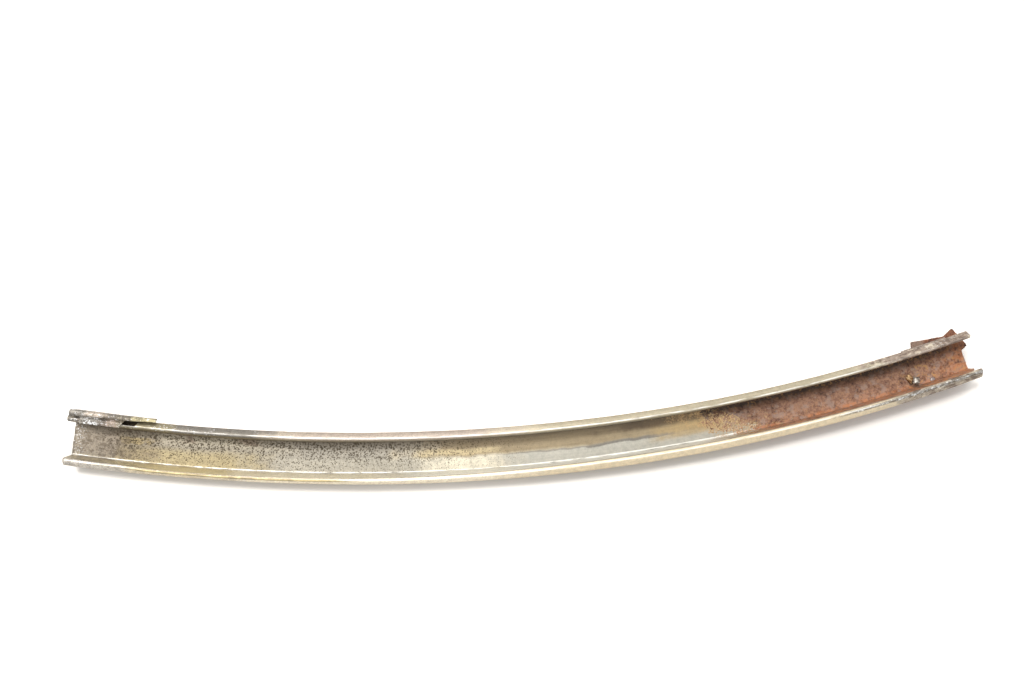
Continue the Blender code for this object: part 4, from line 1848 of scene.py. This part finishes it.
@dataclass(frozen=True)
class Lamp:
    """A soft box: where it stands, what it looks at, its size and its power."""

    name: str
    stand: Triple
    size: Pair
    power: float
    aim: Triple = (0.0, 0.01, 0.0)

    def build(self) -> None:
        """Add the lamp to the scene."""
        light = bpy.data.lights.new(self.name, "AREA")
        light.shape = "RECTANGLE"
        light.size, light.size_y = self.size
        light.energy = self.power
        lamp = bpy.data.objects.new(self.name, light)
        bpy.context.scene.collection.objects.link(lamp)
        lamp.location = self.stand
        look = Vector(self.aim) - Vector(self.stand)
        lamp.rotation_euler = look.to_track_quat("-Z", "Y").to_euler()


@dataclass
class Studio:
    """Pale floor, soft light, white surroundings and the camera over the rail.

    Attributes:
        floor_drop: Distance of the floor below the origin.
        floor_lift: Painted light that the floor adds where the camera sees it.
        lift_stations: Where the lift's fade near the rail starts and stops growing wider.
        lift_distances: How wide the fade is there.
        lift_power: How fast the lift falls off in the fade.
        ambient: Light from the surroundings.
        focal_pixels: The camera's focal length in pixels of the picture's width.
    """

    floor_half: float = 2.5
    floor_normal: Triple = (0.0072, 0.0438, 0.999)
    floor_drop: float = 0.00095
    floor_tone: Tone = (0.95, 0.91, 0.86, 1.0)
    floor_roughness: float = 0.9
    floor_lift: Tone = (0.56, 0.54, 0.51, 1.0)
    lift_stations: Pair = (-0.05, 0.16)
    lift_distances: Pair = (0.011, 0.021)
    lift_power: float = 4.6
    ambient: float = 0.22
    eye: Triple = (-0.06322, 0.02775, 0.49490)
    forward: Triple = (0.104774, 0.054680, -0.992992)
    up: Triple = (0.087283, 0.994129, 0.063952)
    focal_pixels: float = 1000.0
    picture_width: float = 1024.0
    sensor_width: float = 36.0
    clip_start: float = 0.01
    lamps: tuple[Lamp, ...] = (
        Lamp("key_box", (-0.62, 0.83, 2.00), (0.45, 0.45), 33.0),
        Lamp("top_box", (0.0, -0.15, 2.20), (1.2, 1.2), 4.5),
        Lamp("near_box", (-0.20, -1.30, 1.90), (0.8, 0.8), 4.8),
        Lamp("side_box", (0.10, 1.90, 0.75), (0.6, 0.4), 6.4))

    def floor(self) -> None:
        """Lay the floor through the rail's lowest points, as it would lie at rest."""
        normal = Vector(self.floor_normal).normalized()
        turn = normal.to_track_quat("Z", "Y").to_matrix()
        half = self.floor_half
        corners = [turn @ Vector((x, y, 0.0)) - normal * self.floor_drop
                   for x, y in ((-half, -half), (half, -half), (half, half), (-half, half))]
        mesh = bpy.data.meshes.new("floor")
        mesh.from_pydata([tuple(corner) for corner in corners], [], [(0, 1, 2, 3)])
        floor = bpy.data.objects.new("floor", mesh)
        bpy.context.scene.collection.objects.link(floor)
        mesh.materials.append(self.floor_finish())

    def floor_finish(self) -> bpy.types.Material:
        """White table top: matt, with a painted glow where the camera sees it and nothing is close.

        Inside the bend the lift is full, which paints out the rail's shadow there. Elsewhere it is
        the openness to the sky, to a power, which paints a darker contact shadow near the rail.

        Returns:
            The material.
        """
        graph = Graph("white_table")
        matt = {"Base Color": self.floor_tone, "Roughness": self.floor_roughness,
                "Specular IOR Level": 0.0}
        for name, value in matt.items():
            graph.join(value, graph.shader.inputs[name])
        # Painted light: the glow fades near the rail, and is full inside the bend.
        spread = graph.x.rise(*self.lift_stations, *self.lift_distances, Ease.EVEN)
        near = graph.add("AmbientOcclusion", {"Distance": spread})
        lift = graph.math("POWER", graph.read(near, "AO"), self.lift_power)
        lift = lift.most(graph.reach.rise(-CLEARANCE, CLEARANCE, ease=Ease.EVEN))
        lift = graph.read(graph.add("LightPath", {}), "Is Camera Ray") * lift
        glow = graph.add("Emission", {"Color": self.floor_lift, "Strength": lift})
        both = graph.add("AddShader", {0: graph.shader.outputs[0], 1: glow.outputs[0]})
        graph.join(both.outputs[0], graph.tree.nodes["Material Output"].inputs["Surface"])
        return graph.material

    def surroundings(self) -> None:
        """White room: full white where it is seen or mirrored, softer as light."""
        world = bpy.data.worlds.new("white_room")
        bpy.context.scene.world = world
        world.use_nodes = True
        nodes = Nodes(world.node_tree)
        path = nodes.add("LightPath", {})
        seen, glossy, through = (nodes.read(path, f"Is {kind} Ray")
                                 for kind in ("Camera", "Glossy", "Transmission"))
        strength = seen.most(glossy.most(through)).even(self.ambient, 1.0)
        back = nodes.tree.nodes["Background"]
        nodes.join((1.0, 1.0, 1.0, 1.0), back.inputs["Color"])
        nodes.join(strength, back.inputs["Strength"])

    def camera(self) -> None:
        """Set the camera over the rail, as the photograph was taken."""
        data = bpy.data.cameras.new("camera")
        data.sensor_width = self.sensor_width
        data.lens = self.sensor_width * self.focal_pixels / self.picture_width
        data.clip_start = self.clip_start
        camera = bpy.data.objects.new("camera", data)
        bpy.context.scene.collection.objects.link(camera)
        back = -Vector(self.forward).normalized()
        right = Vector(self.up).cross(back).normalized()
        turn = Matrix((right, back.cross(right), back)).transposed()
        camera.matrix_world = Matrix.Translation(self.eye) @ turn.to_4x4()
        bpy.context.scene.camera = camera

    def build(self) -> None:
        """Set up the stage."""
        self.floor()
        self.surroundings()
        for lamp in self.lamps:
            lamp.build()
        self.camera()
        bpy.context.scene.view_settings.view_transform = "Standard"


def main() -> None:
    """Build, dress and light the rail."""
    logging.basicConfig(level=logging.INFO, format="%(name)s: %(message)s")
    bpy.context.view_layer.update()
    channel = GuideChannel()
    rivet = SplitRivet(channel)
    channel.build(rivet.hole("web_hole", -CLEARANCE, channel.sheet.thickness + CLEARANCE))
    for part in (WingBracket(channel), LipStiffener(channel), EndBracket(rivet), rivet):
        part.build()
    Studio().build()


if __name__ == "__main__":
    main()
